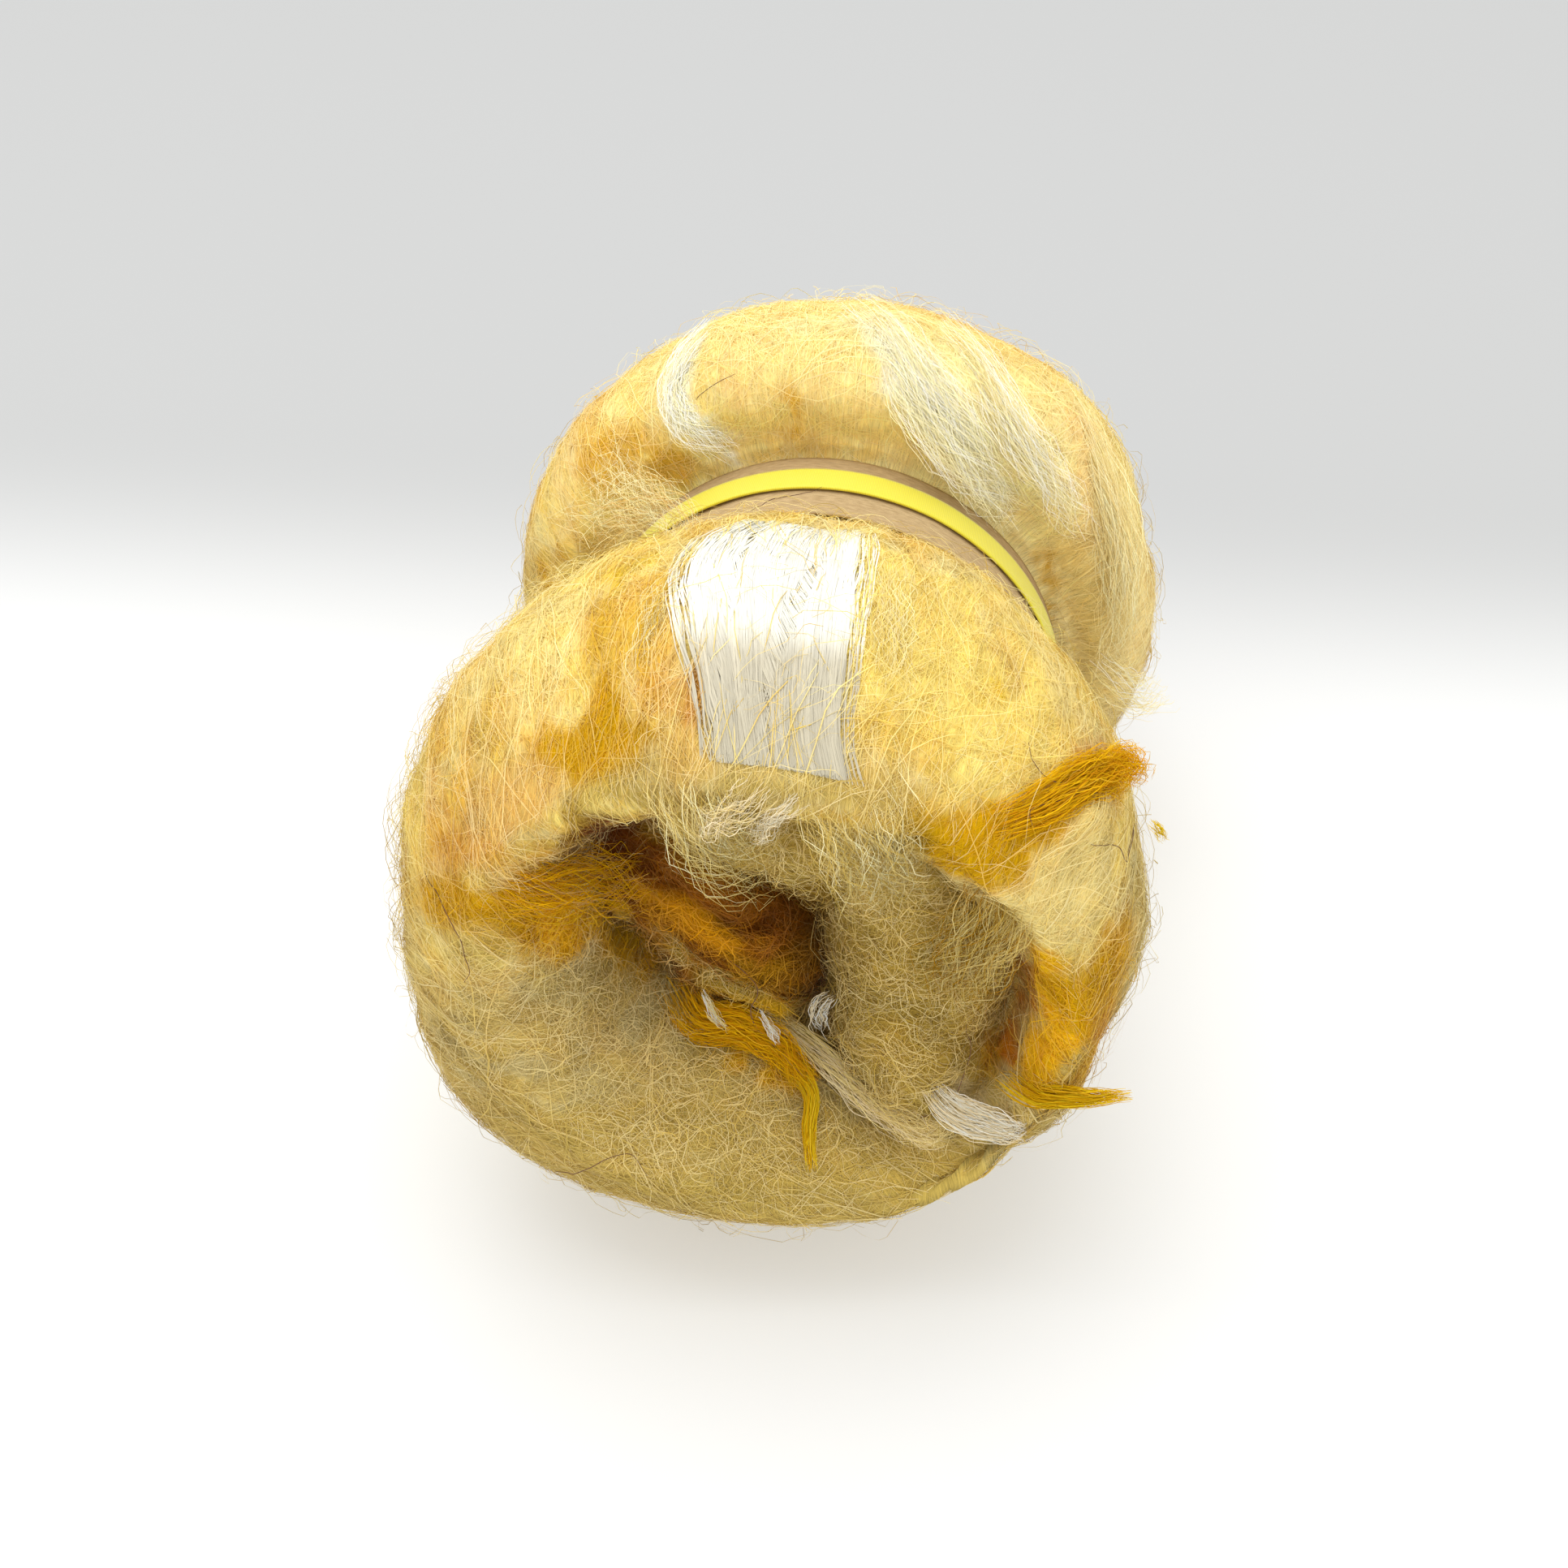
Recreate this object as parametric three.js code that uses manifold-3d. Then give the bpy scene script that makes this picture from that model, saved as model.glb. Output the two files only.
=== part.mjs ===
import * as THREE from "three";
import Module from "manifold-3d";

// A rolled batt of carded wool and silk, held by a paper band and a ribbon, in millimetres, +Z up.
// It lies on its side with the roll's axis along Y. The folded end that shows faces -Y.
// The batt is one body of revolution-like rows: the front face from its centre out to a crest, the
// two lobes with the waist between them, and the back face from its crest in to its centre.

// Level of the axis that the front face is drawn around.
const AXIS_Z = 50;
// Level of the axis of the waist, the band and the ribbon.
const WAIST_Z = 46;

// Rows and columns of the batt's surface.
const AROUND = 90;
const FACE_ROWS = 20;
const ROWS_PER_SECTION = 2;
const BACK_ROWS = 7;

// Cross-sections of the batt from the front crest to the back crest: place along the axis,
// half width, half height, and the section's centre.
const SECTION_COLUMNS = ["y", "halfWidth", "halfHeight", "x", "z"];
const SECTIONS = {
  frontShoulder: [-71, 48.5, 46, 0.5, 57],
  frontRound: [-60, 52.5, 51, 0.5, 55.5],
  frontWidest: [-46, 54.5, 54, 0, 53.5],
  frontMiddle: [-31, 53.5, 54, 0, 52],
  frontSlope: [-15, 49, 49.8, 0, 50.8],
  frontNeck: [-1, 44.5, 44.6, 0, 48.3],
  frontTuck: [7.5, 40.8, 40.8, 0, 46.6],
  waistFront: [11, 38.4, 38.4, 0, WAIST_Z],
  waistMiddle: [21, 38.2, 38.2, 0, WAIST_Z],
  waistBack: [31.5, 38.6, 38.6, 0, WAIST_Z],
  backTuck: [32, 42.5, 42.5, 0, 47],
  backBulge: [30.5, 48, 47.5, 0, 49],
  backRound: [36, 54, 52.3, 0, 50.5],
  backWidest: [48, 56.5, 52.8, 0, 50.8],
  backSlope: [64, 55, 50.5, 0, 48.5],
  backEnd: [79, 50.5, 46, 0, 46.5],
  backShoulder: [90, 43, 38.5, 0, WAIST_Z],
};

// Soft rises and dips of the sides: direction in degrees from +X towards +Z, place along the
// axis, how far each spreads both ways, and the height of its middle.
const SWELL_COLUMNS = ["angle", "y", "angleSpread", "ySpread", "rise"];
const SWELLS = {
  lowerLeftFullness: [228, -68, 26, 16, 4],
  lowerLeftSide: [208, -60, 18, 22, 2],
  lowerRightDip: [-48, -66, 24, 26, -6],
  rightDip: [-22, -66, 14, 18, -2],
  upperLeftShoulder: [138, -45, 20, 18, 2.5],
  upperLeftHip: [150, -8, 20, 12, 2.5],
  goldCorner: [33, -62, 6, 7, 2.2],
  topDip: [62, -48, 16, 20, -1.6],
  silkRidge: [100, -58, 9, 22, 1.4],
  silkFurrow: [84, -30, 5, 22, -1.2],
  leftFurrow: [122, -58, 6, 16, -1.3],
  leftRidge: [164, -52, 9, 22, 1.2],
  rightFurrow: [12, -52, 6, 14, -1.4],
  backLeftDip: [128, 44, 14, 16, -2],
  backLeftLock: [112, 46, 6, 16, 1.8],
  backTopFurrow: [92, 52, 6, 18, -1.3],
  backRightSwell: [38, 50, 18, 20, 1.6],
  backRightFurrow: [14, 56, 7, 18, -1.4],
};
// The swells fade out towards the tied waist: the radius where they end and how far they take.
const TIED_RADIUS = 40;
const TIED_FADE = 6;

// Crest of the front face all the way round: radius from the axis, half thickness of the rolled
// rim, and how far forward it stands.
const RIM_COLUMNS = ["angle", "radius", "halfThickness", "y"];
const FRONT_RIM = [
  [-6, 45, 10, -76],
  [12, 46, 10, -76],
  [35, 46, 11, -77],
  [55, 45.5, 10.5, -78],
  [81, 45, 11, -79],
  [105, 45, 11.5, -79],
  [130, 46, 12, -79],
  [156, 42, 15, -79],
  [177, 38, 17, -79],
  [205, 33, 20, -80],
  [244, 29, 21, -80.5],
  [279, 30, 20, -79],
  [298, 34, 20, -77],
  [313, 38, 12, -74],
  [335, 43, 9, -74],
];
const FRONT_FLOOR_Y = -51;

// Crest of the back face, a plain rolled rim around a shallow hollow.
const BACK_RIM = [
  [0, 33, 15, 97],
  [90, 30, 15, 97],
  [180, 27, 15, 97],
  [270, 30, 15, 97],
];
const BACK_FLOOR_Y = 80;

// The folds that show inside the front hollow: rows along the spine of each, seen from the
// front, with its half width and how far forward its top stands. Z is measured from AXIS_Z.
const FOLD_COLUMNS = ["x", "z", "halfWidth", "y"];
const FRONT_FOLDS = {
  innerRight: [
    [13, 27, 8, -64],
    [21, 21, 12, -69],
    [23.5, 6, 14.5, -72],
    [22, -8, 13, -71],
    [27, -20, 10, -70],
    [33, -27, 6, -70],
  ],
  innerTop: [
    [-16, 27, 7, -59],
    [-6, 27, 9, -62],
    [5, 23, 11, -63],
    [13, 18, 9, -61],
  ],
  innerRoll: [
    [-23, 19, 7, -56],
    [-14, 14, 8.5, -62],
    [-5, 7, 8, -63.5],
    [3, 0, 6.5, -62],
  ],
  lowerLeft: [
    [-19, 9, 5, -60],
    [-9, 1, 5, -63],
    [2, -6, 4, -63],
  ],
};
const FOLD_BLEND = 2;

// Loose locks on the front end, each a flattened tapering strand whose first rows lie inside
// the batt: the middle of each row, its width and its thickness.
const LOCK_COLUMNS = ["x", "y", "z", "width", "thickness"];
const LOCK_FACING = new THREE.Vector3(0.1, -0.8, 0.6);
const LOCKS = {
  goldTip: [
    [39, -54, 77, 6, 5],
    [44.5, -51, 79.5, 8, 5],
    [49, -48.5, 80.5, 9, 4],
    [52.5, -47.5, 80.5, 6, 2],
  ],
  looseTail: [
    [35, -70, 43.5, 5, 4],
    [40, -74.5, 42.5, 4.4, 3],
    [45, -76, 43.8, 3, 2.2],
    [49.5, -76.5, 45.2, 2.4, 1.8],
    [54, -76.5, 45.4, 1.6, 1.2],
  ],
  silkEnd: [
    [19, -66, 42, 5, 5],
    [25, -71, 38.5, 6.5, 4],
    [31, -73.5, 36.8, 7, 4],
    [37, -74.5, 37, 6, 3.5],
    [42, -74, 38.5, 3, 2.5],
  ],
  lowerFlap: [
    [-8, -56, 50, 8, 6],
    [-2, -62, 45, 11, 5],
    [4, -66.5, 40.5, 9, 4.5],
    [7, -71.5, 36, 4, 4],
    [7.8, -76, 31.5, 2, 2.6],
    [8.4, -79, 27, 1.2, 1.6],
  ],
};

// Paper band around the waist: its two edges, inner radius, thickness and gap to what is under it.
const SHEET_GAP = 0.3;
const BAND = { frontY: 12.2, backY: 30.9, radius: 38.9, thickness: 1, lapCentre: 270, lap: 16 };
// Satin ribbon over the band, a quarter of an inch wide.
const RIBBON = { frontY: 19.3, backY: 25.65, thickness: 1, lapCentre: 312, lap: 14 };
// How far round each strip takes to climb over its own first end, in degrees.
const LAP_RAMP = 26;
// How far round the ribbon takes to come down from the band's outer end.
const LAP_DROP = 12;
const STRIP_STEPS = 96;

function named(columns, row) {
  return Object.fromEntries(columns.map((column, i) => [column, row[i]]));
}

function radians(degrees) {
  return (degrees * Math.PI) / 180;
}

function wrapDegrees(degrees) {
  return ((degrees % 360) + 360) % 360;
}

// Smooth step from 0 to 1.
function ease(value) {
  const u = Math.min(Math.max(value, 0), 1);
  return u * u * (3 - 2 * u);
}

// Catmull-Rom curve between two rows of numbers, with the rows before and after them.
function curveBetween(before, start, end, after, u) {
  return start.map((value, i) => {
    const a = before[i];
    const b = value;
    const c = end[i];
    const d = after[i];
    const linear = (c - a) * u;
    const square = (2 * a - 5 * b + 4 * c - d) * u * u;
    const cubic = (3 * b - a - 3 * c + d) * u * u * u;
    return (2 * b + linear + square + cubic) / 2;
  });
}

// Row of a table that goes all the way round, its first column the angle.
function rowAtAngle(rows, angle) {
  const count = rows.length;
  const first = rows[0][0];
  const turned = first + wrapDegrees(angle - first);
  const next = rows.findIndex((row) => row[0] > turned);
  const i = (next < 0 ? count : next) - 1;
  const end = i + 1 < count ? rows[i + 1][0] : first + 360;
  const u = (turned - rows[i][0]) / (end - rows[i][0]);
  const at = (k) => rows[(k + count) % count];
  return curveBetween(at(i - 1), at(i), at(i + 1), at(i + 2), u);
}

// Drop of a rounded top: 0 in its middle, 1 at its edge.
function dome(q) {
  return 1 - Math.sqrt(Math.max(1 - Math.min(q, 1) ** 2, 0));
}

// The lower of two heights with the corner between them rounded.
function smoothMin(a, b, blend) {
  const h = Math.min(Math.max(0.5 + (b - a) / (2 * blend), 0), 1);
  return b * (1 - h) + a * h - blend * h * (1 - h);
}

// How far forward a chain of rounded folds stands at one point of the face.
function foldDepth(rows, x, z, floor) {
  let depth = floor;
  for (let i = 0; i + 1 < rows.length; i += 1) {
    const start = named(FOLD_COLUMNS, rows[i]);
    const end = named(FOLD_COLUMNS, rows[i + 1]);
    const dx = end.x - start.x;
    const dz = end.z - start.z;
    const along = ((x - start.x) * dx + (z - start.z) * dz) / (dx * dx + dz * dz);
    const t = Math.min(Math.max(along, 0), 1);
    const away = Math.hypot(x - start.x - t * dx, z - start.z - t * dz);
    const halfWidth = THREE.MathUtils.lerp(start.halfWidth, end.halfWidth, t);
    const top = THREE.MathUtils.lerp(start.y, end.y, t);
    depth = Math.min(depth, top + (floor - top) * dome(away / halfWidth));
  }
  return depth;
}

// Place along the axis of a face at one direction and radius: the rim, then the folds over it.
function faceDepth(rimRows, folds, floor, angle, share, x, z) {
  const rim = named(RIM_COLUMNS, rowAtAngle(rimRows, angle));
  const inward = (rim.radius * (1 - share)) / rim.halfThickness;
  let y = rim.y + (floor - rim.y) * dome(inward);
  for (const rows of Object.values(folds)) {
    y = smoothMin(y, foldDepth(rows, x, z, floor), FOLD_BLEND);
  }
  return y;
}

function ellipseRadius(halfWidth, halfHeight, angle) {
  return 1 / Math.hypot(Math.cos(radians(angle)) / halfWidth, Math.sin(radians(angle)) / halfHeight);
}

function swellRise(angle, y) {
  let rise = 0;
  for (const row of Object.values(SWELLS)) {
    const swell = named(SWELL_COLUMNS, row);
    const turn = wrapDegrees(angle - swell.angle + 180) - 180;
    rise += swell.rise * Math.exp(-((turn / swell.angleSpread) ** 2) - ((y - swell.y) / swell.ySpread) ** 2);
  }
  return rise;
}

// The chain of points along one meridian, each as y, radius, centre x and centre z.
function meridian(angle) {
  const front = named(RIM_COLUMNS, rowAtAngle(FRONT_RIM, angle));
  const back = named(RIM_COLUMNS, rowAtAngle(BACK_RIM, angle));
  const chain = [[front.y, front.radius, 0, AXIS_Z]];
  for (const row of Object.values(SECTIONS)) {
    const section = named(SECTION_COLUMNS, row);
    chain.push([section.y, ellipseRadius(section.halfWidth, section.halfHeight, angle), section.x, section.z]);
  }
  chain.push([back.y, back.radius, 0, WAIST_Z]);
  return chain;
}

// Rows beyond a crest mirror the meridian, so that the surface leaves the crest flat.
function mirrored(crest, next) {
  return [next[0], 2 * crest[1] - next[1], 2 * crest[2] - next[2], 2 * crest[3] - next[3]];
}

function bodyPoint(chain, angle, step) {
  const last = chain.length - 1;
  const i = Math.min(Math.floor(step), last - 1);
  const before = i > 0 ? chain[i - 1] : mirrored(chain[0], chain[1]);
  const after = i + 2 <= last ? chain[i + 2] : mirrored(chain[last], chain[last - 1]);
  const [y, radius, x, z] = curveBetween(before, chain[i], chain[i + 1], after, step - i);
  const reach = radius + swellRise(angle, y) * ease((radius - TIED_RADIUS) / TIED_FADE);
  return new THREE.Vector3(x + reach * Math.cos(radians(angle)), y, z + reach * Math.sin(radians(angle)));
}

// All rows of the batt, each a ring of points, with one point at the middle of each face.
function battRings() {
  const angles = Array.from({ length: AROUND }, (_, i) => (i * 360) / AROUND);
  const chains = angles.map(meridian);
  const bodySteps = chains[0].length - 1;
  const rings = [];
  for (let k = 1; k < FACE_ROWS; k += 1) {
    const share = k / FACE_ROWS;
    rings.push(angles.map((angle, i) => {
      const crest = bodyPoint(chains[i], angle, 0);
      const x = crest.x * share;
      const z = (crest.z - AXIS_Z) * share;
      const y = faceDepth(FRONT_RIM, FRONT_FOLDS, FRONT_FLOOR_Y, angle, share, x, z);
      return new THREE.Vector3(x, y, AXIS_Z + z);
    }));
  }
  for (let k = 0; k <= bodySteps * ROWS_PER_SECTION; k += 1) {
    rings.push(angles.map((angle, i) => bodyPoint(chains[i], angle, k / ROWS_PER_SECTION)));
  }
  for (let k = BACK_ROWS - 1; k > 0; k -= 1) {
    const share = k / BACK_ROWS;
    rings.push(angles.map((angle, i) => {
      const crest = bodyPoint(chains[i], angle, bodySteps);
      const y = faceDepth(BACK_RIM, {}, BACK_FLOOR_Y, angle, share, 0, 0);
      return new THREE.Vector3(crest.x * share, y, WAIST_Z + (crest.z - WAIST_Z) * share);
    }));
  }
  // The floor presses the underside into flat spots.
  for (const point of rings.flat()) {
    point.z = Math.max(point.z, 0);
  }
  const frontY = faceDepth(FRONT_RIM, FRONT_FOLDS, FRONT_FLOOR_Y, 0, 0, 0, 0);
  return {
    rings,
    frontMiddle: new THREE.Vector3(0, frontY, AXIS_Z),
    backMiddle: new THREE.Vector3(0, BACK_FLOOR_Y, WAIST_Z),
  };
}

// Closed surface from rings of equal count, capped at both ends by a middle point. The rings run
// so that the faces point out; the split of each quad follows its shorter diagonal.
function ringSurface(rings, firstMiddle, lastMiddle) {
  const count = rings[0].length;
  const points = [firstMiddle, ...rings.flat(), lastMiddle];
  const at = (row, column) => 1 + row * count + (column % count);
  const faces = [];
  for (let i = 0; i < count; i += 1) {
    faces.push([0, at(0, i), at(0, i + 1)]);
    for (let row = 0; row + 1 < rings.length; row += 1) {
      const [a, b] = [at(row, i), at(row, i + 1)];
      const [c, d] = [at(row + 1, i + 1), at(row + 1, i)];
      if (points[a].distanceTo(points[c]) < points[b].distanceTo(points[d])) {
        faces.push([a, d, c], [a, c, b]);
      } else {
        faces.push([a, d, b], [b, d, c]);
      }
    }
    faces.push([at(rings.length - 1, i + 1), at(rings.length - 1, i), points.length - 1]);
  }
  return { points, faces };
}

// A flattened strand along a table of rows, four-sided, each row across the strand's run.
function lockSurface(rows) {
  const places = rows.map((row) => named(LOCK_COLUMNS, row));
  const middles = places.map((place) => new THREE.Vector3(place.x, place.y, place.z));
  const rings = places.map((place, i) => {
    const from = middles[Math.max(i - 1, 0)];
    const to = middles[Math.min(i + 1, middles.length - 1)];
    const run = new THREE.Vector3().subVectors(to, from).normalize();
    const side = new THREE.Vector3().crossVectors(run, LOCK_FACING).normalize();
    const up = new THREE.Vector3().crossVectors(side, run);
    const corner = (across, rise) => middles[i].clone()
      .addScaledVector(side, (across * place.width) / 2)
      .addScaledVector(up, (rise * place.thickness) / 2);
    return [corner(1, 0), corner(0, 1), corner(-1, 0), corner(0, -1)];
  });
  return ringSurface(rings, middles[0], middles[middles.length - 1]);
}

function manifoldSolid(wasm, surface) {
  return new wasm.Manifold(new wasm.Mesh({
    numProp: 3,
    vertProperties: new Float32Array(surface.points.flatMap((point) => point.toArray())),
    triVerts: new Uint32Array(surface.faces.flat()),
  }));
}

function geometryFrom(positions, indices) {
  const geometry = new THREE.BufferGeometry();
  geometry.setAttribute("position", new THREE.BufferAttribute(new Float32Array(positions), 3));
  geometry.setIndex(indices);
  geometry.computeVertexNormals();
  return geometry;
}

function battGeometry(wasm) {
  const { rings, frontMiddle, backMiddle } = battRings();
  const body = manifoldSolid(wasm, ringSurface(rings, frontMiddle, backMiddle));
  const locks = Object.values(LOCKS).map((rows) => manifoldSolid(wasm, lockSurface(rows)));
  const mesh = wasm.Manifold.union([body, ...locks]).getMesh();
  return geometryFrom(Array.from(mesh.vertProperties), Array.from(mesh.triVerts));
}

// Climb of a strip's path over its own first end, by how far round it has gone.
function lapClimb(strip, turned) {
  const start = 360 - LAP_RAMP;
  return (strip.thickness + SHEET_GAP) * ease((turned - start) / LAP_RAMP);
}

// Climb of the ribbon where it passes over the band's lap.
function bandLapUnder(angle) {
  const turned = wrapDegrees(angle - BAND.lapCentre + BAND.lap / 2);
  const falling = 1 - ease((turned - BAND.lap) / LAP_DROP);
  const climb = BAND.thickness + SHEET_GAP;
  return Math.max(lapClimb(BAND, turned), climb * falling);
}

// A strip wrapped once round the waist, its last end lapped over its first: a closed solid of
// four-cornered sections.
function stripGeometry(strip, radiusAt) {
  const rings = [];
  for (let k = 0; k <= STRIP_STEPS; k += 1) {
    const turned = ((360 + strip.lap) * k) / STRIP_STEPS;
    const angle = strip.lapCentre - strip.lap / 2 + turned;
    const inner = radiusAt(angle, turned);
    const outer = inner + strip.thickness;
    const point = (radius, y) => new THREE.Vector3(
      radius * Math.cos(radians(angle)),
      y,
      WAIST_Z + radius * Math.sin(radians(angle)),
    );
    rings.push([
      point(inner, strip.frontY),
      point(inner, strip.backY),
      point(outer, strip.backY),
      point(outer, strip.frontY),
    ]);
  }
  const middle = (ring) => ring[0].clone().lerp(ring[2], 1 / 2);
  const surface = ringSurface(rings, middle(rings[0]), middle(rings[rings.length - 1]));
  return geometryFrom(surface.points.flatMap((point) => point.toArray()), surface.faces.flat());
}

function namedMesh(name, geometry, look) {
  const mesh = new THREE.Mesh(geometry, new THREE.MeshStandardMaterial(look));
  mesh.name = name;
  return mesh;
}

const wasm = await Module();
wasm.setup();

const batt = namedMesh("batt", battGeometry(wasm), { color: 0xe4cb82, roughness: 0.95, metalness: 0 });
const paperBand = namedMesh(
  "paper_band",
  stripGeometry(BAND, (angle, turned) => BAND.radius + lapClimb(BAND, turned)),
  { color: 0xa8906a, roughness: 0.85, metalness: 0 },
);
const ribbonRadius = BAND.radius + BAND.thickness + SHEET_GAP;
const ribbon = namedMesh(
  "ribbon",
  stripGeometry(RIBBON, (angle, turned) => ribbonRadius + bandLapUnder(angle) + lapClimb(RIBBON, turned)),
  { color: 0xe8dc1e, roughness: 0.35, metalness: 0 },
);

const part = new THREE.Group();
part.name = "rolled_fiber_batt";
part.add(batt, paperBand, ribbon);

// The origin is the bottom centre of the whole part's box.
const box = new THREE.Box3();
for (const mesh of part.children) {
  mesh.geometry.computeBoundingBox();
  box.union(mesh.geometry.boundingBox);
}
for (const mesh of part.children) {
  mesh.geometry.translate(-(box.min.x + box.max.x) / 2, -(box.min.y + box.max.y) / 2, -box.min.z);
}

export default part;
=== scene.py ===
import math

import bmesh
import bpy
import numpy as np
from mathutils import Matrix, Vector


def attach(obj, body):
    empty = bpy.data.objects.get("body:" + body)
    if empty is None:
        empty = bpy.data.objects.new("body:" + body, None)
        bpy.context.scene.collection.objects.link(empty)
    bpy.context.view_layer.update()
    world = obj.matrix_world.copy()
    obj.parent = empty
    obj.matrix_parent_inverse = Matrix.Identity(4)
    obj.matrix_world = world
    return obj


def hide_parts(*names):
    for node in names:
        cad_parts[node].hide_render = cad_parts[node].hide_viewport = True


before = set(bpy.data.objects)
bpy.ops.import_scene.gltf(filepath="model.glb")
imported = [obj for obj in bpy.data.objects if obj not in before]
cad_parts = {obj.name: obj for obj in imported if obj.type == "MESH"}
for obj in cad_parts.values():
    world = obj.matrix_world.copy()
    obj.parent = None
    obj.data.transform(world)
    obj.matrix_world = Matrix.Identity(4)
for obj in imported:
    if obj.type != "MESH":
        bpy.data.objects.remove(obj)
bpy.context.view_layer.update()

MM = 0.001
SEED = 20240611

# The batt's surface, in millimetres.

AXIS_Z = 50.0
WAIST_Z = 46.0
# The middle of the waist in the row frame, and the radius from which fibres may lift off it.
WAIST_Y = 13.0
LIFT_RADIUS, LIFT_FADE = 41.2, 5.0
# The batt's own frame lies this far along Y from the row frame.
SHIFT = np.array([0.0, -8.23, 0.0])

# y, half width, half height, centre x, centre z
SECTIONS = np.array([
    [-71, 48.5, 46, 0.5, 57],
    [-60, 52.5, 51, 0.5, 55.5],
    [-46, 54.5, 54, 0, 53.5],
    [-31, 53.5, 54, 0, 52],
    [-15, 49, 49.8, 0, 50.8],
    [-1, 44.5, 44.6, 0, 48.3],
    [7.5, 40.8, 40.8, 0, 46.6],
    [11, 38.4, 38.4, 0, 46],
    [21, 38.2, 38.2, 0, 46],
    [31.5, 38.6, 38.6, 0, 46],
    [32, 42.5, 42.5, 0, 47],
    [30.5, 48, 47.5, 0, 49],
    [36, 54, 52.3, 0, 50.5],
    [48, 56.5, 52.8, 0, 50.8],
    [64, 55, 50.5, 0, 48.5],
    [79, 50.5, 46, 0, 46.5],
    [90, 43, 38.5, 0, 46],
], float)
# angle, y, spread of the angle, spread of y, rise
SWELLS = [
    (228, -68, 26, 16, 4), (208, -60, 18, 22, 2), (-48, -66, 24, 26, -6), (-22, -66, 14, 18, -2),
    (138, -45, 20, 18, 2.5), (150, -8, 20, 12, 2.5), (33, -62, 6, 7, 2.2), (62, -48, 16, 20, -1.6),
    (100, -58, 9, 22, 1.4), (84, -30, 5, 22, -1.2), (122, -58, 6, 16, -1.3), (164, -52, 9, 22, 1.2),
    (12, -52, 6, 14, -1.4), (128, 44, 14, 16, -2), (112, 46, 6, 16, 1.8), (92, 52, 6, 18, -1.3),
    (38, 50, 18, 20, 1.6), (14, 56, 7, 18, -1.4),
]
TIED_RADIUS, TIED_FADE = 40.0, 6.0
# How far outside the front crest the first ring of the outside is kept, and the most that it is moved.
RING_CLEARANCE, RING_MOVED_MOST = 2.5, 6.0
# Grids of the surface: columns, rows of the front face, rows a section and rows of the back face.
FINE_GRID = (720, 150, 24, 50)
CORE_GRID = (340, 56, 7, 18)
# angle, crest radius, half thickness of the rim, crest y
FRONT_RIM = np.array([
    [-6, 45, 10, -76], [12, 46, 10, -76], [35, 46, 11, -77], [55, 45.5, 10.5, -78], [81, 45, 11, -79],
    [105, 45, 11.5, -79], [130, 46, 12, -79], [156, 42, 15, -79], [177, 38, 17, -79], [205, 33, 20, -80],
    [244, 29, 21, -80.5], [279, 30, 20, -79], [298, 34, 20, -77], [313, 38, 12, -74], [335, 43, 9, -74],
], float)
BACK_RIM = np.array([[0, 33, 15, 97], [90, 30, 15, 97], [180, 27, 15, 97], [270, 30, 15, 97]], float)
FRONT_FLOOR_Y, BACK_FLOOR_Y = -51.0, 80.0
# x, z from the axis, half width, y of the top
FOLDS = {
    "inner_right": [(13, 27, 8, -64), (21, 21, 12, -69), (23.5, 6, 14.5, -72), (22, -8, 13, -71),
                    (27, -20, 10, -70), (33, -27, 6, -70)],
    "inner_top": [(-16, 27, 7, -59), (-6, 27, 9, -62), (5, 23, 11, -63), (13, 18, 9, -61)],
    "inner_roll": [(-23, 19, 7, -56), (-14, 14, 8.5, -62), (-5, 7, 8, -63.5), (3, 0, 6.5, -62)],
    "lower_left": [(-19, 9, 5, -60), (-9, 1, 5, -63), (2, -6, 4, -63)],
}
FOLD_BLEND = 2.0
ZONES = {"rim": 0, "inner_right": 1, "inner_top": 2, "inner_roll": 3, "lower_left": 4, "floor": 5}


def ease(value):
    u = np.clip(value, 0, 1)
    return u * u * (3 - 2 * u)


def cubic(a, b, c, d, u):
    return 0.5 * (2 * b + (c - a) * u + (2 * a - 5 * b + 4 * c - d) * u**2 + (3 * b - a - 3 * c + d) * u**3)


def around(rows, angle):
    """The columns of a table that goes all the way round, at each angle."""
    keys, values, count = rows[:, 0], rows[:, 1:], len(rows)
    turned = (angle - keys[0]) % 360 + keys[0]
    i = np.clip(np.searchsorted(keys, turned, side="right") - 1, 0, count - 1)
    end = np.where(i + 1 < count, keys[(i + 1) % count], keys[0] + 360)
    u = ((turned - keys[i]) / (end - keys[i]))[..., None]
    return cubic(values[(i - 1) % count], values[i], values[(i + 1) % count], values[(i + 2) % count], u)


def dome(q):
    return 1 - np.sqrt(np.clip(1 - np.clip(q, 0, 1) ** 2, 0, 1))


def smooth_min(a, b, blend):
    h = np.clip(0.5 + (b - a) / (2 * blend), 0, 1)
    return b * (1 - h) + a * h - blend * h * (1 - h)


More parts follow.
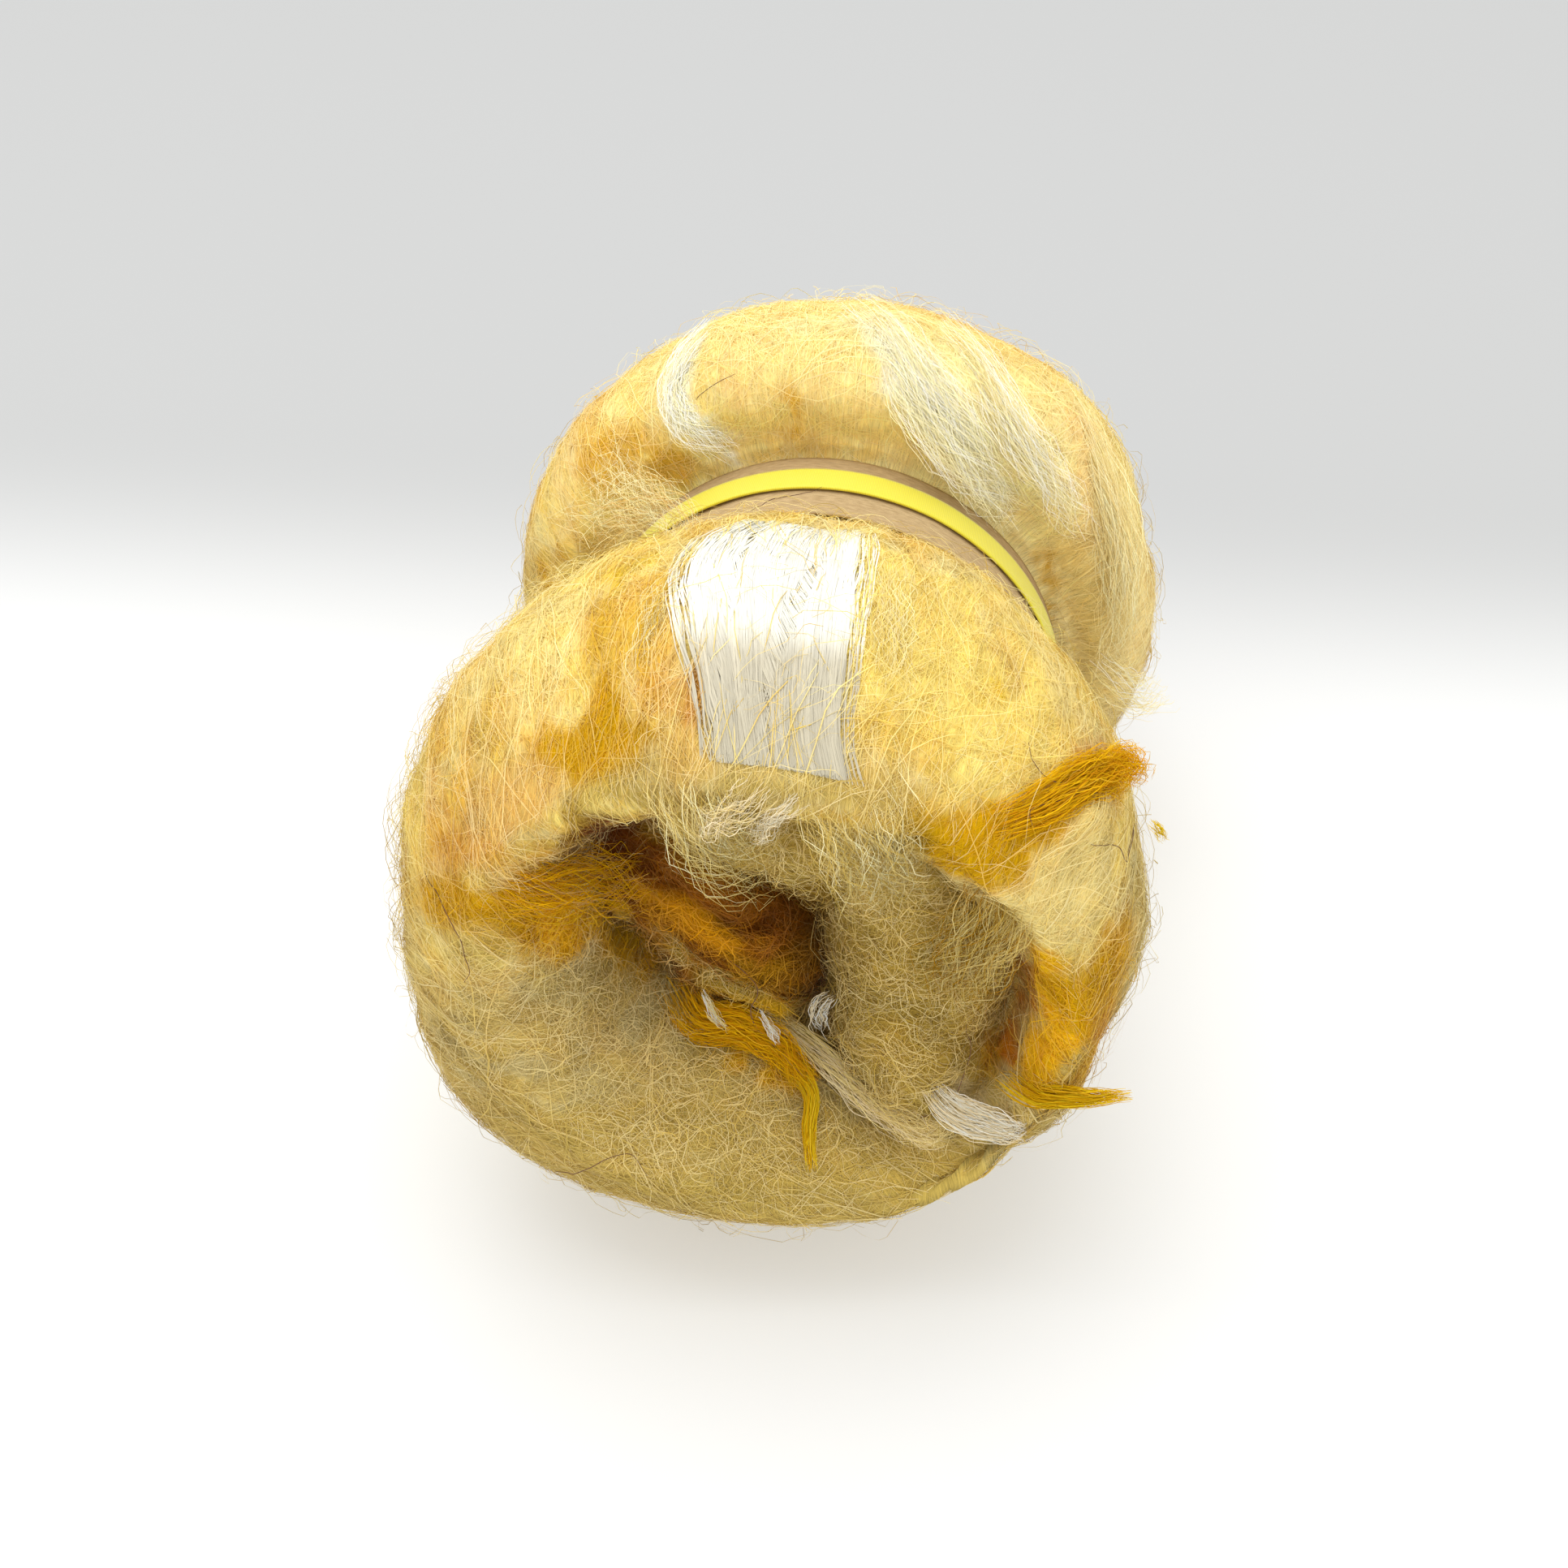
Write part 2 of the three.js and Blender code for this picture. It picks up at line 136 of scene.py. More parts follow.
def face_depth(rim, share, x, z, folds, floor):
    """Place along the axis of an end face, and the zone that each point lies in."""
    y = rim[:, 2] + (floor - rim[:, 2]) * dome(rim[:, 0] * (1 - share) / rim[:, 1])
    zone = np.where(y > floor - 1.0, ZONES["floor"], ZONES["rim"])
    for name, rows in folds.items():
        best = np.full_like(x, floor)
        for (x0, z0, w0, y0), (x1, z1, w1, y1) in zip(rows[:-1], rows[1:]):
            dx, dz = x1 - x0, z1 - z0
            t = np.clip(((x - x0) * dx + (z - z0) * dz) / (dx * dx + dz * dz), 0, 1)
            away = np.hypot(x - x0 - t * dx, z - z0 - t * dz) / (w0 + t * (w1 - w0))
            top = y0 + t * (y1 - y0)
            best = np.minimum(best, top + (floor - top) * dome(away))
        zone = np.where((best < y) & (best < floor - 1.0), ZONES[name], zone)
        y = smooth_min(y, best, FOLD_BLEND)
    return y, zone


def swell_rise(angle, y):
    rise = np.zeros(np.broadcast(angle, y).shape)
    for a, y0, spread, y_spread, height in SWELLS:
        turn = (angle - a + 180) % 360 - 180
        rise += height * np.exp(-((turn / spread) ** 2) - ((y - y0) / y_spread) ** 2)
    return rise


def batt_rows(columns, face_rows, per_section, back_rows):
    """Grid of points in the row frame (rows, columns, 3), its zones, and the row of the front crest."""
    angle = np.linspace(0, 360, columns, endpoint=False)
    c, s = np.cos(np.radians(angle)), np.sin(np.radians(angle))
    front, back = around(FRONT_RIM, angle), around(BACK_RIM, angle)
    zero = np.zeros(columns)
    chain = [np.stack([front[:, 2], front[:, 0], zero, zero + AXIS_Z], -1)]
    for y, a, b, x, z in SECTIONS:
        chain.append(np.stack([zero + y, 1 / np.hypot(c / a, s / b), zero + x, zero + z], -1))
    chain.append(np.stack([back[:, 2], back[:, 0], zero, zero + WAIST_Z], -1))
    chain = np.array(chain)
    # The first ring lies a little outside the front crest, so that the surface doesn't fold over the face.
    crest, first = chain[0], chain[1]
    reached = first[:, 1] + swell_rise(angle, first[:, 0]) * ease((first[:, 1] - TIED_RADIUS) / TIED_FADE)
    gain = reached - crest[:, 1] + (first[:, 2] - crest[:, 2]) * c + (first[:, 3] - crest[:, 3]) * s
    first[:, 1] += np.clip(RING_CLEARANCE - gain, 0, RING_MOVED_MOST)
    mirror = np.array([-1, 1, 1, 1])
    ends = [chain[0] + (chain[0] - chain[1]) * mirror, chain[-1] + (chain[-1] - chain[-2]) * mirror]
    full = np.concatenate([ends[:1], chain, ends[1:]])
    steps = len(chain) - 1

    def body(step):
        i = min(int(step), steps - 1)
        y, radius, x, z = cubic(full[i], full[i + 1], full[i + 2], full[i + 3], step - i).T
        reach = radius + swell_rise(angle, y) * ease((radius - TIED_RADIUS) / TIED_FADE)
        return np.stack([x + reach * c, y, z + reach * s], -1)

    rows, zones = [], []
    crest = body(0)
    for share in np.linspace(0, 1, face_rows + 1)[1:-1]:
        x, z = share * crest[:, 0], share * (crest[:, 2] - AXIS_Z)
        y, zone = face_depth(front, share, x, z, FOLDS, FRONT_FLOOR_Y)
        rows.append(np.stack([x, y, AXIS_Z + z], -1))
        zones.append(zone)
    for step in np.linspace(0, steps, steps * per_section + 1):
        rows.append(body(step))
        zones.append(np.zeros(columns, int))
    crest = body(steps)
    for share in np.linspace(1, 0, back_rows + 1)[1:-1]:
        y, zone = face_depth(back, share, zero, zero, {}, BACK_FLOOR_Y)
        rows.append(np.stack([crest[:, 0] * share, y, WAIST_Z + (crest[:, 2] - WAIST_Z) * share], -1))
        zones.append(zero.astype(int))
    points = np.array(rows)
    points[..., 2] = np.maximum(points[..., 2], 0)
    return points + SHIFT, np.array(zones), face_rows - 1


# The photograph's camera, in the row frame, and the places that were picked in the photograph.

PHOTO_SIDE = 1932
LENS, SENSOR = 58.9, 36.0
ELEVATION, AZIMUTH = math.radians(35.0), math.radians(6.67)
CAMERA_TARGET = np.array([-3.95, -8.23, 41.21])
CAMERA_DISTANCE = 425.04
BACKWARD = np.array([math.sin(AZIMUTH) * math.cos(ELEVATION), -math.cos(AZIMUTH) * math.cos(ELEVATION),
                     math.sin(ELEVATION)])
RIGHTWARD = np.array([math.cos(AZIMUTH), math.sin(AZIMUTH), 0.0])
UPWARD = np.cross(BACKWARD, RIGHTWARD)
EYE = CAMERA_TARGET + CAMERA_DISTANCE * BACKWARD
FOCAL_PIXELS = LENS / SENSOR * PHOTO_SIDE
# The grid that places are picked from: columns, face rows, rows a section and back rows.
PICKING_GRID = (720, 240, 44, 60)
PICKING_REACHES = (3.5, 10, 25)
# Points this far behind the nearest one are hidden by it.
HIDDEN_BEHIND = 4.0
PICKED = batt_rows(*PICKING_GRID)[0].reshape(-1, 3)
PICKED_DEPTH = (EYE - PICKED) @ BACKWARD
PICKED_X = PHOTO_SIDE / 2 + FOCAL_PIXELS * ((PICKED - EYE) @ RIGHTWARD) / PICKED_DEPTH
PICKED_Y = PHOTO_SIDE / 2 - FOCAL_PIXELS * ((PICKED - EYE) @ UPWARD) / PICKED_DEPTH


def placed(spot):
    """A point in millimetres: the surface under a pixel x and y of the photograph, or x, y and z as they are."""
    if len(spot) == 3:
        return np.array(spot, float)
    off = np.hypot(PICKED_X - spot[0], PICKED_Y - spot[1])
    near = next(found for found in (np.nonzero(off < reach)[0] for reach in PICKING_REACHES) if len(found))
    front = near[PICKED_DEPTH[near] < PICKED_DEPTH[near].min() + HIDDEN_BEHIND]
    return np.round(PICKED[front[np.argmin(off[front])]])


# Noise and colour.

def hashed(i, j, k, seed):
    h = (i * 73856093) ^ (j * 19349663) ^ (k * 83492791) ^ (seed * 2654435761)
    h = (h ^ (h >> 13)) * 1274126177 & 0x7FFFFFFF
    h = (h ^ (h >> 16)) * 668265263 & 0x7FFFFFFF
    return h / 0x7FFFFFFF


def noise(points, cell, seed):
    """Smooth noise from -1 to 1, its features about cell millimetres apart; cell may have three values."""
    q = points / np.asarray(cell, float) + 512.0
    base = np.floor(q).astype(np.int64)
    f = q - base
    f = f * f * (3 - 2 * f)
    total = 0.0
    for dx in (0, 1):
        for dy in (0, 1):
            for dz in (0, 1):
                weight = np.abs(1 - dx - f[..., 0]) * np.abs(1 - dy - f[..., 1]) * np.abs(1 - dz - f[..., 2])
                total = total + weight * hashed(base[..., 0] + dx, base[..., 1] + dy, base[..., 2] + dz, seed)
    return total * 2 - 1


def linear(rgb):
    v = np.asarray(rgb, float) / 255
    return np.where(v <= 0.04045, v / 12.92, ((v + 0.055) / 1.055) ** 2.4)


PALETTE = {name: linear(rgb) for name, rgb in {
    "butter": (250, 227, 128), "pale": (253, 242, 190), "cream": (243, 224, 150), "olive_cream": (222, 197, 118),
    "olive_low": (211, 183, 92), "back_butter": (254, 229, 156), "back_cream": (253, 232, 166),
    "beige": (229, 204, 128), "light_gold": (230, 186, 44), "gold": (218, 169, 5), "lemon": (238, 205, 30),
    "orange": (222, 158, 8), "deep_orange": (202, 122, 6), "orange_brown": (152, 90, 4), "roll": (152, 89, 5),
    "rust": (115, 55, 5), "brown": (146, 98, 5), "deep_gold": (182, 132, 6), "olive_gold": (168, 130, 18),
    "tan": (222, 178, 98), "khaki": (204, 175, 86), "dark_khaki": (184, 152, 62), "olive": (160, 126, 40),
    "silk": (253, 251, 238), "shaded_silk": (203, 194, 168), "silk_shade": (243, 226, 184), "bright_gold": (248, 196, 10),
}.items()}

# Zone ("any", "rim" or a fold), strength, softness of the edge, colour and a streak. A streak with three values
# a point is in the photograph's pixels, x, y and radius, and so is its edge; with four, in millimetres: x, y, z
# and radius in the row frame.
PATCHES = [
    ("rim", 0.9, 14, "back_butter", [(-10, 60, 100, 34), (14, 40, 100, 34)]),
    ("rim", 0.8, 14, "back_cream", [(44, 30, 84, 14), (48, 30, 56, 16)]),
    # Darker olive along the bottom of the near end: partly the fibre's olive tone, partly painted shade.
    ("rim", 0.8, 12, "olive_low", [(-24, -84, 24, 12), (8, -84, 20, 14), (24, -78, 24, 10)]),
    # Folds and floor of the hollow: partly their own khaki, orange and brown, partly painted shade in the hollow.
    ("inner_right", 1.0, 1, "khaki", [(14, -74, 73, 40)]),
    ("inner_right", 0.8, 8, "dark_khaki", [(28, -78, 62, 8), (26, -76, 50, 9)]),
    ("inner_right", 0.7, 6, "dark_khaki", [(12, -70, 62, 5), (10, -68, 50, 4)]),
    ("inner_top", 1.0, 1, "khaki", [(0, -70, 74, 40)]),
    ("inner_roll", 1.0, 1, "roll", [(-8, -68, 60, 40)]),
    ("lower_left", 1.0, 1, "dark_khaki", [(-8, -68, 48, 40)]),
    ("floor", 1.0, 1, "brown", [(-10, -60, 60, 60)]),
    ("rim", 0.8, 22, "butter", [(1100, 700, 60), (1150, 800, 70), (1200, 900, 60)]),
    ("rim", 0.8, 20, "cream", [(1280, 790, 30), (1335, 870, 36), (1370, 930, 18)]),
    ("rim", 0.8, 8, "lemon", [(745, 708, 12), (790, 692, 14)]),
    ("rim", 0.8, 18, "light_gold", [(770, 740, 40), (780, 800, 34)]),
    ("rim", 0.8, 16, "cream", [(700, 735, 30), (620, 790, 32), (570, 850, 22)]),
    ("rim", 0.6, 18, "light_gold", [(615, 880, 24), (585, 920, 26), (560, 975, 26)]),
    ("rim", 0.7, 14, "tan", [(640, 965, 26), (600, 1000, 34), (565, 1030, 30)]),
    ("rim", 0.55, 12, "orange", [(530, 1045, 14), (600, 1048, 14), (690, 1050, 16)]),
    ("rim", 0.6, 8, "orange", [(530, 980, 9), (525, 1010, 9)]),
    ("rim", 0.5, 13, "cream", [(655, 800, 14), (642, 835, 13), (645, 880, 15), (690, 888, 12)]),
    ("rim", 1.0, 9, "gold", [(745, 865, 20), (755, 920, 28), (705, 935, 24), (668, 932, 14)]),
    ("rim", 0.8, 8, "gold", [(800, 830, 12), (808, 870, 10)]),
    ("rim", 0.5, 14, "tan", [(830, 830, 22), (845, 920, 28)]),
    ("rim", 0.75, 7, "deep_orange", [(852, 850, 12), (858, 892, 9)]),
    ("rim", 0.6, 8, "tan", [(545, 1078, 9), (620, 1088, 10), (700, 1096, 10)]),
    ("rim", 1.0, 5, "gold", [(520, 1105, 18), (560, 1122, 26), (620, 1124, 28), (690, 1128, 30)]),
    ("any", 0.95, 6, "bright_gold", [(690, 1140, 24), (740, 1152, 18), (785, 1165, 16)]),
    ("rim", 0.6, 10, "butter", [(532, 1180, 14), (552, 1215, 12)]),
    # Olive along the hollow's upper lip: painted shade where the lip turns down.
    ("rim", 0.35, 13, "olive", [(700, 1003, 12), (750, 985, 10), (820, 975, 10)]),
    ("rim", 0.3, 13, "olive", [(900, 974, 9), (1000, 974, 10), (1060, 985, 12)]),
    ("rim", 0.95, 10, "rust", [(712, 1030, 12), (720, 1060, 14)]),
    ("any", 1.0, 10, "rust", [(735, 1020, 16), (765, 1040, 26), (790, 1050, 24)]),
    ("any", 1.0, 9, "rust", [(745, 1080, 20), (775, 1108, 14)]),
    ("any", 0.95, 12, "khaki", [(862, 1001, 26), (930, 1030, 28), (1000, 1045, 26)]),
    ("any", 0.95, 9, "olive_gold", [(825, 1035, 12), (880, 1078, 12), (960, 1092, 16), (1020, 1095, 16)]),
    ("any", 0.95, 8, "orange_brown", [(800, 1050, 12), (850, 1092, 14), (900, 1112, 14), (955, 1122, 14)]),
    # A thin rust line along the crease over the roll: partly the fibre's tone, partly painted shade in the crease.
    ("any", 1.0, 5, "rust", [(800, 1062, 7), (825, 1090, 7), (860, 1120, 7), (900, 1140, 8), (945, 1142, 8)]),
    ("any", 1.0, 7, "orange", [(800, 1120, 17), (850, 1140, 18), (890, 1168, 16)]),
    ("any", 0.95, 7, "deep_gold", [(925, 1185, 16), (950, 1215, 12)]),
    ("any", 0.95, 7, "gold", [(735, 1130, 12), (758, 1158, 15), (782, 1170, 9)]),
    ("any", 0.5, 5, "butter", [(762, 1132, 6)]),
    # Orange brown along a crease: partly the fibre's tone, partly painted shade in the crease.
    ("any", 0.85, 5, "orange_brown", [(770, 1120, 6), (800, 1160, 7), (820, 1180, 7), (850, 1193, 7)]),
    ("any", 1.0, 8, "brown", [(1000, 1150, 18), (982, 1185, 16), (977, 1225, 12)]),
    ("any", 0.9, 8, "olive_gold", [(1010, 1105, 18), (1012, 1140, 14)]),
    # The flap in the hollow is drawn in a lighter gold: painted light where it lies in shade.
    ("any", 0.95, 5, "bright_gold", [(845, 1220, 12), (860, 1262, 16), (900, 1266, 14),
                                     (948, 1282, 12), (985, 1318, 9)]),
    ("any", 0.75, 0.8, "bright_gold", [(-16, -71, 49, 1.6), (-13, -72, 48, 2.2),
                                       (-5, -72, 44.5, 2.2), (0, -71, 43, 1.6)]),
    ("any", 0.8, 5, "deep_orange", [(852, 1210, 10), (868, 1232, 9)]),
    ("any", 0.9, 14, "khaki", [(1060, 1085, 34), (1150, 1110, 34)]),
    # Olive gold along the crease of the right fold: partly the fibre's tone, partly painted shade in the crease.
    ("any", 0.95, 7, "olive_gold", [(1130, 1040, 13), (1160, 1062, 11), (1200, 1100, 9),
                                    (1230, 1132, 9), (1250, 1158, 8)]),
    # Deep orange along a crease: partly the fibre's tone, partly painted shade in the crease.
    ("any", 1.0, 5, "deep_orange", [(1262, 1180, 8), (1258, 1230, 9), (1245, 1280, 8), (1240, 1310, 8)]),
    ("any", 1.0, 7, "bright_gold", [(1285, 1200, 20), (1295, 1260, 24), (1275, 1320, 22), (1288, 1350, 16)]),
    ("any", 1.0, 6, "gold", [(1229, 1302, 12), (1220, 1326, 10)]),
    ("rim", 1.0, 8, "gold", [(1372, 1180, 20), (1350, 1225, 28), (1318, 1260, 22)]),
    ("rim", 0.9, 2.0, "gold", [(51, -72, 61, 5.0), (49, -76, 52, 5.0), (46, -79, 46, 4.0)]),
    ("rim", 0.8, 8, "deep_orange", [(1340, 1278, 11), (1374, 1252, 10)]),
    ("rim", 0.9, 8, "cream", [(1262, 1140, 10), (1320, 1120, 38), (1370, 1080, 34), (1330, 1040, 30)]),
    ("rim", 1.0, 5, "gold", [(1150, 1012, 20), (1200, 1032, 37), (1250, 1029, 38),
                             (1292, 1001, 32), (1328, 968, 18), (1380, 962, 16)]),
    ("rim", 1.0, 8, "gold", [(1195, 1076, 27), (1251, 1060, 23)]),
    ("rim", 0.55, 8, "deep_orange", [(1295, 950, 14), (1380, 935, 12)]),
    ("any", 0.8, 8, "olive_gold", [(1110, 1010, 12), (1150, 1035, 12)]),
    ("rim", 1.0, 2, "lemon", [(1223, 866, 6), (1229, 860, 6)]),
    ("rim", 0.35, 12, "light_gold", [(1150, 910, 14), (1135, 940, 14)]),
    ("any", 1.0, 5, "silk_shade", [(1165, 1352, 10), (1211, 1378, 12), (1238, 1392, 7)]),
    ("rim", 0.35, 14, "tan", [(800, 640, 20), (760, 660, 16)]),
    ("rim", 0.8, 14, "gold", [(730, 560, 26), (780, 560, 24), (830, 590, 12)]),
    ("rim", 1.0, 7, "gold", [(672, 706, 12), (688, 690, 9)]),
    ("rim", 0.25, 16, "tan", [(740, 485, 28), (700, 560, 22), (690, 640, 18)]),
    ("rim", 0.2, 10, "tan", [(892, 440, 14), (915, 490, 12)]),
    ("rim", 0.9, 5, "light_gold", [(970, 490, 7), (982, 530, 8)]),
    ("rim", 0.5, 10, "light_gold", [(921, 556, 7), (1000, 558, 8), (1070, 560, 7)]),
    ("rim", 0.8, 6, "gold", [(1290, 680, 9), (1293, 735, 9), (1287, 768, 7)]),
    ("rim", 0.35, 9, "tan", [(1325, 500, 9), (1350, 560, 10), (1345, 640, 10), (1340, 700, 9)]),
    ("rim", 0.6, 20, "beige", [(1345, 700, 22), (1365, 780, 20)]),
    ("rim", 0.8, 3, "olive", [(1316, 560, 3), (1322, 602, 3)]),
    ("rim", 0.7, 3, "olive", [(674, 600, 3), (671, 645, 3)]),
    ("rim", 0.8, 8, "silk", [(854, 425, 12), (835, 480, 12), (850, 525, 12), (905, 552, 10)]),
    ("rim", 0.7, 12, "silk", [(1090, 410, 20), (1120, 470, 22), (1180, 545, 22), (1225, 600, 16)]),
    ("rim", 0.6, 14, "pale", [(1180, 430, 18), (1230, 510, 18), (1280, 590, 16)]),
    ("rim", 0.5, 12, "pale", [(1000, 399, 20), (1100, 385, 20)]),
    # Khaki along the lip: partly the rim's khaki tone, partly painted shade where it turns down into the hollow.
    ("rim", 0.5, 17, "khaki", [(740, 972, 10), (850, 985, 14), (950, 985, 14),
                               (1050, 990, 16), (1105, 985, 13)]),
    ("rim", 0.7, 10, "olive_gold", [(690, 1010, 10), (700, 1060, 10)]),
    ("rim", 0.7, 3, "tan", [(4, -42, 106, 1.6), (4, -56, 107, 1.4), (2, -72, 105, 0.8), (2, -82, 101, 0.6)]),
    ("rim", 0.5, 8, "light_gold", [(30, 70, 95, 10), (-10, 84, 80, 10)]),
    ("rim", 0.45, 8, "tan", [(-50, 50, 60, 9), (-40, 80, 50, 9)]),
    ("rim", 0.5, 8, "olive_cream", [(-30, 60, 20, 12), (10, 80, 14, 12)]),
    ("rim", 0.7, 6, "gold", [(52, 60, 40, 8), (34, 84, 36, 6)]),
    ("rim", 0.6, 4, "silk", [(-6, 88, 66, 5), (8, 88, 48, 5), (14, 84, 30, 5)]),
    ("rim", 0.6, 4, "orange", [(-20, 84, 40, 4), (-24, 88, 60, 4)]),
    ("rim", 0.6, 8, "gold", [(-54, -30, 50, 7), (-50, -10, 40, 6)]),
    ("rim", 0.6, 8, "cream", [(-52, -50, 34, 9), (-46, -20, 24, 9)]),
    ("rim", 0.6, 6, "orange", [(54, -30, 44, 6), (48, -10, 34, 5)]),
]


STREAK_WIDENING = 1.4
# Clouds of colour drawn out along the fibres: colour, size across and along, seed, strength.
CLOUDS = [
    ("cream", 8, 24, 22, 0.5), ("tan", 4, 18, 24, 0.35), ("light_gold", 6, 20, 25, 0.45),
    ("pale", 2.5, 14, 23, 0.45), ("dark_khaki", 2.2, 14, 26, 0.3),
]


def placed_streak(edge, streak):
    """The softness of a streak's edge and its rows of x, y, z and radius, in millimetres."""
    rows = []
    for *spot, radius in streak:
        point = placed(spot)
        if len(spot) == 2:
            pixel = np.linalg.norm(point - EYE) / FOCAL_PIXELS
            radius *= pixel * STREAK_WIDENING
        rows.append((*point, round(radius, 1)))
    return round(edge * pixel, 1) if len(spot) == 2 else edge, np.array(rows)


PLACED_PATCHES = [(zone, strength, *placed_streak(edge, streak), name)
                  for zone, strength, edge, name, streak in PATCHES]


def tint(points, zones):
    """The fibre's colour at points of the surface, in the row frame, with painted shade and painted light in places."""
    shape, points, zones = points.shape, points.reshape(-1, 3), zones.ravel()
    facing = np.maximum(ease((-74 - points[:, 1]) / 8), zones > 0)
    warped = points + 2.0 * np.stack([noise(points, 7, 11), noise(points, 7, 12), noise(points, 7, 13)], -1)
    warped += 0.7 * np.stack([noise(points, 2.2, 14), noise(points, 2.2, 15), noise(points, 2.2, 16)], -1)
    far = ease((points[:, 1] - 8) / 8)
    # The edges of the patches are drawn out along the fibres.
    warped[:, 1] += 6 * (1 - facing) * noise(points, (2.4, 18, 2.4), 17)
    warped[:, 0] += 4 * facing * noise(points, (14, 2.4, 2.4), 18)
    # Lower down: a darker olive cream and darker clouds, partly the fibre's own tone, partly painted shade.
    low = ease((74 - points[:, 2] + 5 * noise(points, 18, 21)) / 30)[:, None]
    colour = PALETTE["butter"] * (1 - low) + PALETTE["olive_cream"] * low
    for name, across, along, seed, most in CLOUDS:
        cloud = noise(warped, (across, along, across), seed) * (1 - facing)
        cloud += noise(warped, (along, across, across), seed) * facing
        most = most * (1 - 0.8 * far) if name == "dark_khaki" else most
        colour = colour + (PALETTE[name] * (1 - 0.3 * low) - colour) * (most * ease(cloud * 1.9))[:, None]
    for zone, strength, edge, rows, name in PLACED_PATCHES:
        reach = rows[:, 3].max() + edge + 4
        near = np.all((points > rows[:, :3].min(0) - reach) & (points < rows[:, :3].max(0) + reach), axis=1)
        if zone != "any":
            near &= zones == ZONES[zone]
        near = np.nonzero(near)[0]
        inside = np.full(len(near), -1e9)
        for first, last in zip(rows[:max(len(rows) - 1, 1)], rows[-max(len(rows) - 1, 1):]):
            run = last[:3] - first[:3]
            away = warped[near] - first[:3]
            u = np.clip(away @ run / max(run @ run, 1e-9), 0, 1)
            radius = first[3] + u * (last[3] - first[3])
            inside = np.maximum(inside, radius - np.linalg.norm(away - u[:, None] * run, axis=1))
        weight = strength * ease(inside / (1.5 * edge + 1.6) + 0.7)[:, None]
        colour[near] += (PALETTE[name] - colour[near]) * weight
    streaks = noise(warped, (2.6, 20, 2.6), 27) * (1 - facing) + noise(warped, (16, 2.6, 2.6), 27) * facing
    tufts = 0.16 * noise(points, 5, 28) * (zones > 0)
    return (colour * (1 + 0.12 * (1 - 0.6 * far) * streaks + tufts + 0.05 * far)[:, None]).reshape(shape)


# Materials.

def node_material(name, roughness, **principled):
    material = bpy.data.materials.new(name)
    material.use_nodes = True
    shader = material.node_tree.nodes["Principled BSDF"]
    shader.inputs["Roughness"].default_value = roughness
    for key, value in principled.items():
        shader.inputs[key.replace("_", " ")].default_value = value
    return material, material.node_tree.nodes, material.node_tree.links, shader


def add(nodes, kind, **values):
    """A shader node. Names in lower case are settings, the others inputs, with _ for a space."""
    made = nodes.new("ShaderNode" + kind)
    for key, value in values.items():
        if key.islower():
            setattr(made, key, value)
        else:
            made.inputs[key.replace("_", " ")].default_value = value
    return made


def add_ramp(nodes, low, high, low_at=0.0, high_at=1.0):
    made = nodes.new("ShaderNodeValToRGB")
    for element, colour, position in zip(made.color_ramp.elements, (low, high), (low_at, high_at)):
        element.position = position
        element.color = (*colour, 1)
    return made


def join(links, *pairs):
    for start, end in pairs:
        links.new(start, end)


def fibre_material(name, roughness, sheen, spread, scale, through=0.0):
    """Fibres tinted by the colour attribute, a little uneven along their run, that let some light through."""
    material, nodes, links, shader = node_material(name, roughness, Sheen_Weight=sheen, Sheen_Roughness=0.4)
    colour = add(nodes, "VertexColor", layer_name="tint")
    place = add(nodes, "TexCoord")
    grain = add(nodes, "TexNoise", Scale=scale, Detail=3.0)
    shade = add(nodes, "MapRange", To_Min=1 - spread, To_Max=1 + spread)
    mixed = add(nodes, "VectorMath", operation="SCALE")
    join(links,
         (place.outputs["Object"], grain.inputs["Vector"]),
         (grain.outputs["Fac"], shade.inputs["Value"]),
         (colour.outputs["Color"], mixed.inputs[0]),
         (shade.outputs["Result"], mixed.inputs["Scale"]),
         (mixed.outputs["Vector"], shader.inputs["Base Color"]))
    if through:
        behind, both = add(nodes, "BsdfTranslucent"), add(nodes, "MixShader", Fac=through)
        join(links,
             (mixed.outputs["Vector"], behind.inputs["Color"]),
             (shader.outputs["BSDF"], both.inputs[1]),
             (behind.outputs["BSDF"], both.inputs[2]),
             (both.outputs["Shader"], nodes["Material Output"].inputs["Surface"]))
    return material, nodes, links, shader, place


def core_material():
    """The packed fibre under the loose ones, with stretched noise in three directions for matted fibres."""
    material, nodes, links, shader, place = fibre_material("carded_fibre", 0.9, 0.03, 0.1, 300)
    shader.inputs["Specular IOR Level"].default_value = 0.08
    height = None
    for turn, seed in ((-0.5, 0.0), (0.15, 7.3), (0.8, 15.1)):
        mapping = add(nodes, "Mapping", Location=(seed, seed, 0), Rotation=(0, 0, turn), Scale=(2.6, 0.22, 1))
        streak = add(nodes, "TexNoise", Scale=1.0, Detail=3.0, Distortion=0.9)
        join(links,
             (place.outputs["UV"], mapping.inputs["Vector"]),
             (mapping.outputs["Vector"], streak.inputs["Vector"]))
        if height is None:
            height = streak.outputs["Fac"]
            continue
        most = add(nodes, "Math", operation="MAXIMUM")
        join(links, (height, most.inputs[0]), (streak.outputs["Fac"], most.inputs[1]))
        height = most.outputs["Value"]
    shade = add(nodes, "MapRange", From_Min=0.45, From_Max=0.75, To_Min=0.7, To_Max=1.2)
    tinted = shader.inputs["Base Color"].links[0].from_socket
    mixed = add(nodes, "VectorMath", operation="SCALE")
    bump = add(nodes, "Bump", Strength=0.8, Distance=0.0004)
    join(links,
         (height, shade.inputs["Value"]),
         (tinted, mixed.inputs[0]),
         (shade.outputs["Result"], mixed.inputs["Scale"]),
         (mixed.outputs["Vector"], shader.inputs["Base Color"]),
         (height, bump.inputs["Height"]),
         (bump.outputs["Normal"], shader.inputs["Normal"]))
    return material


# Meshes.

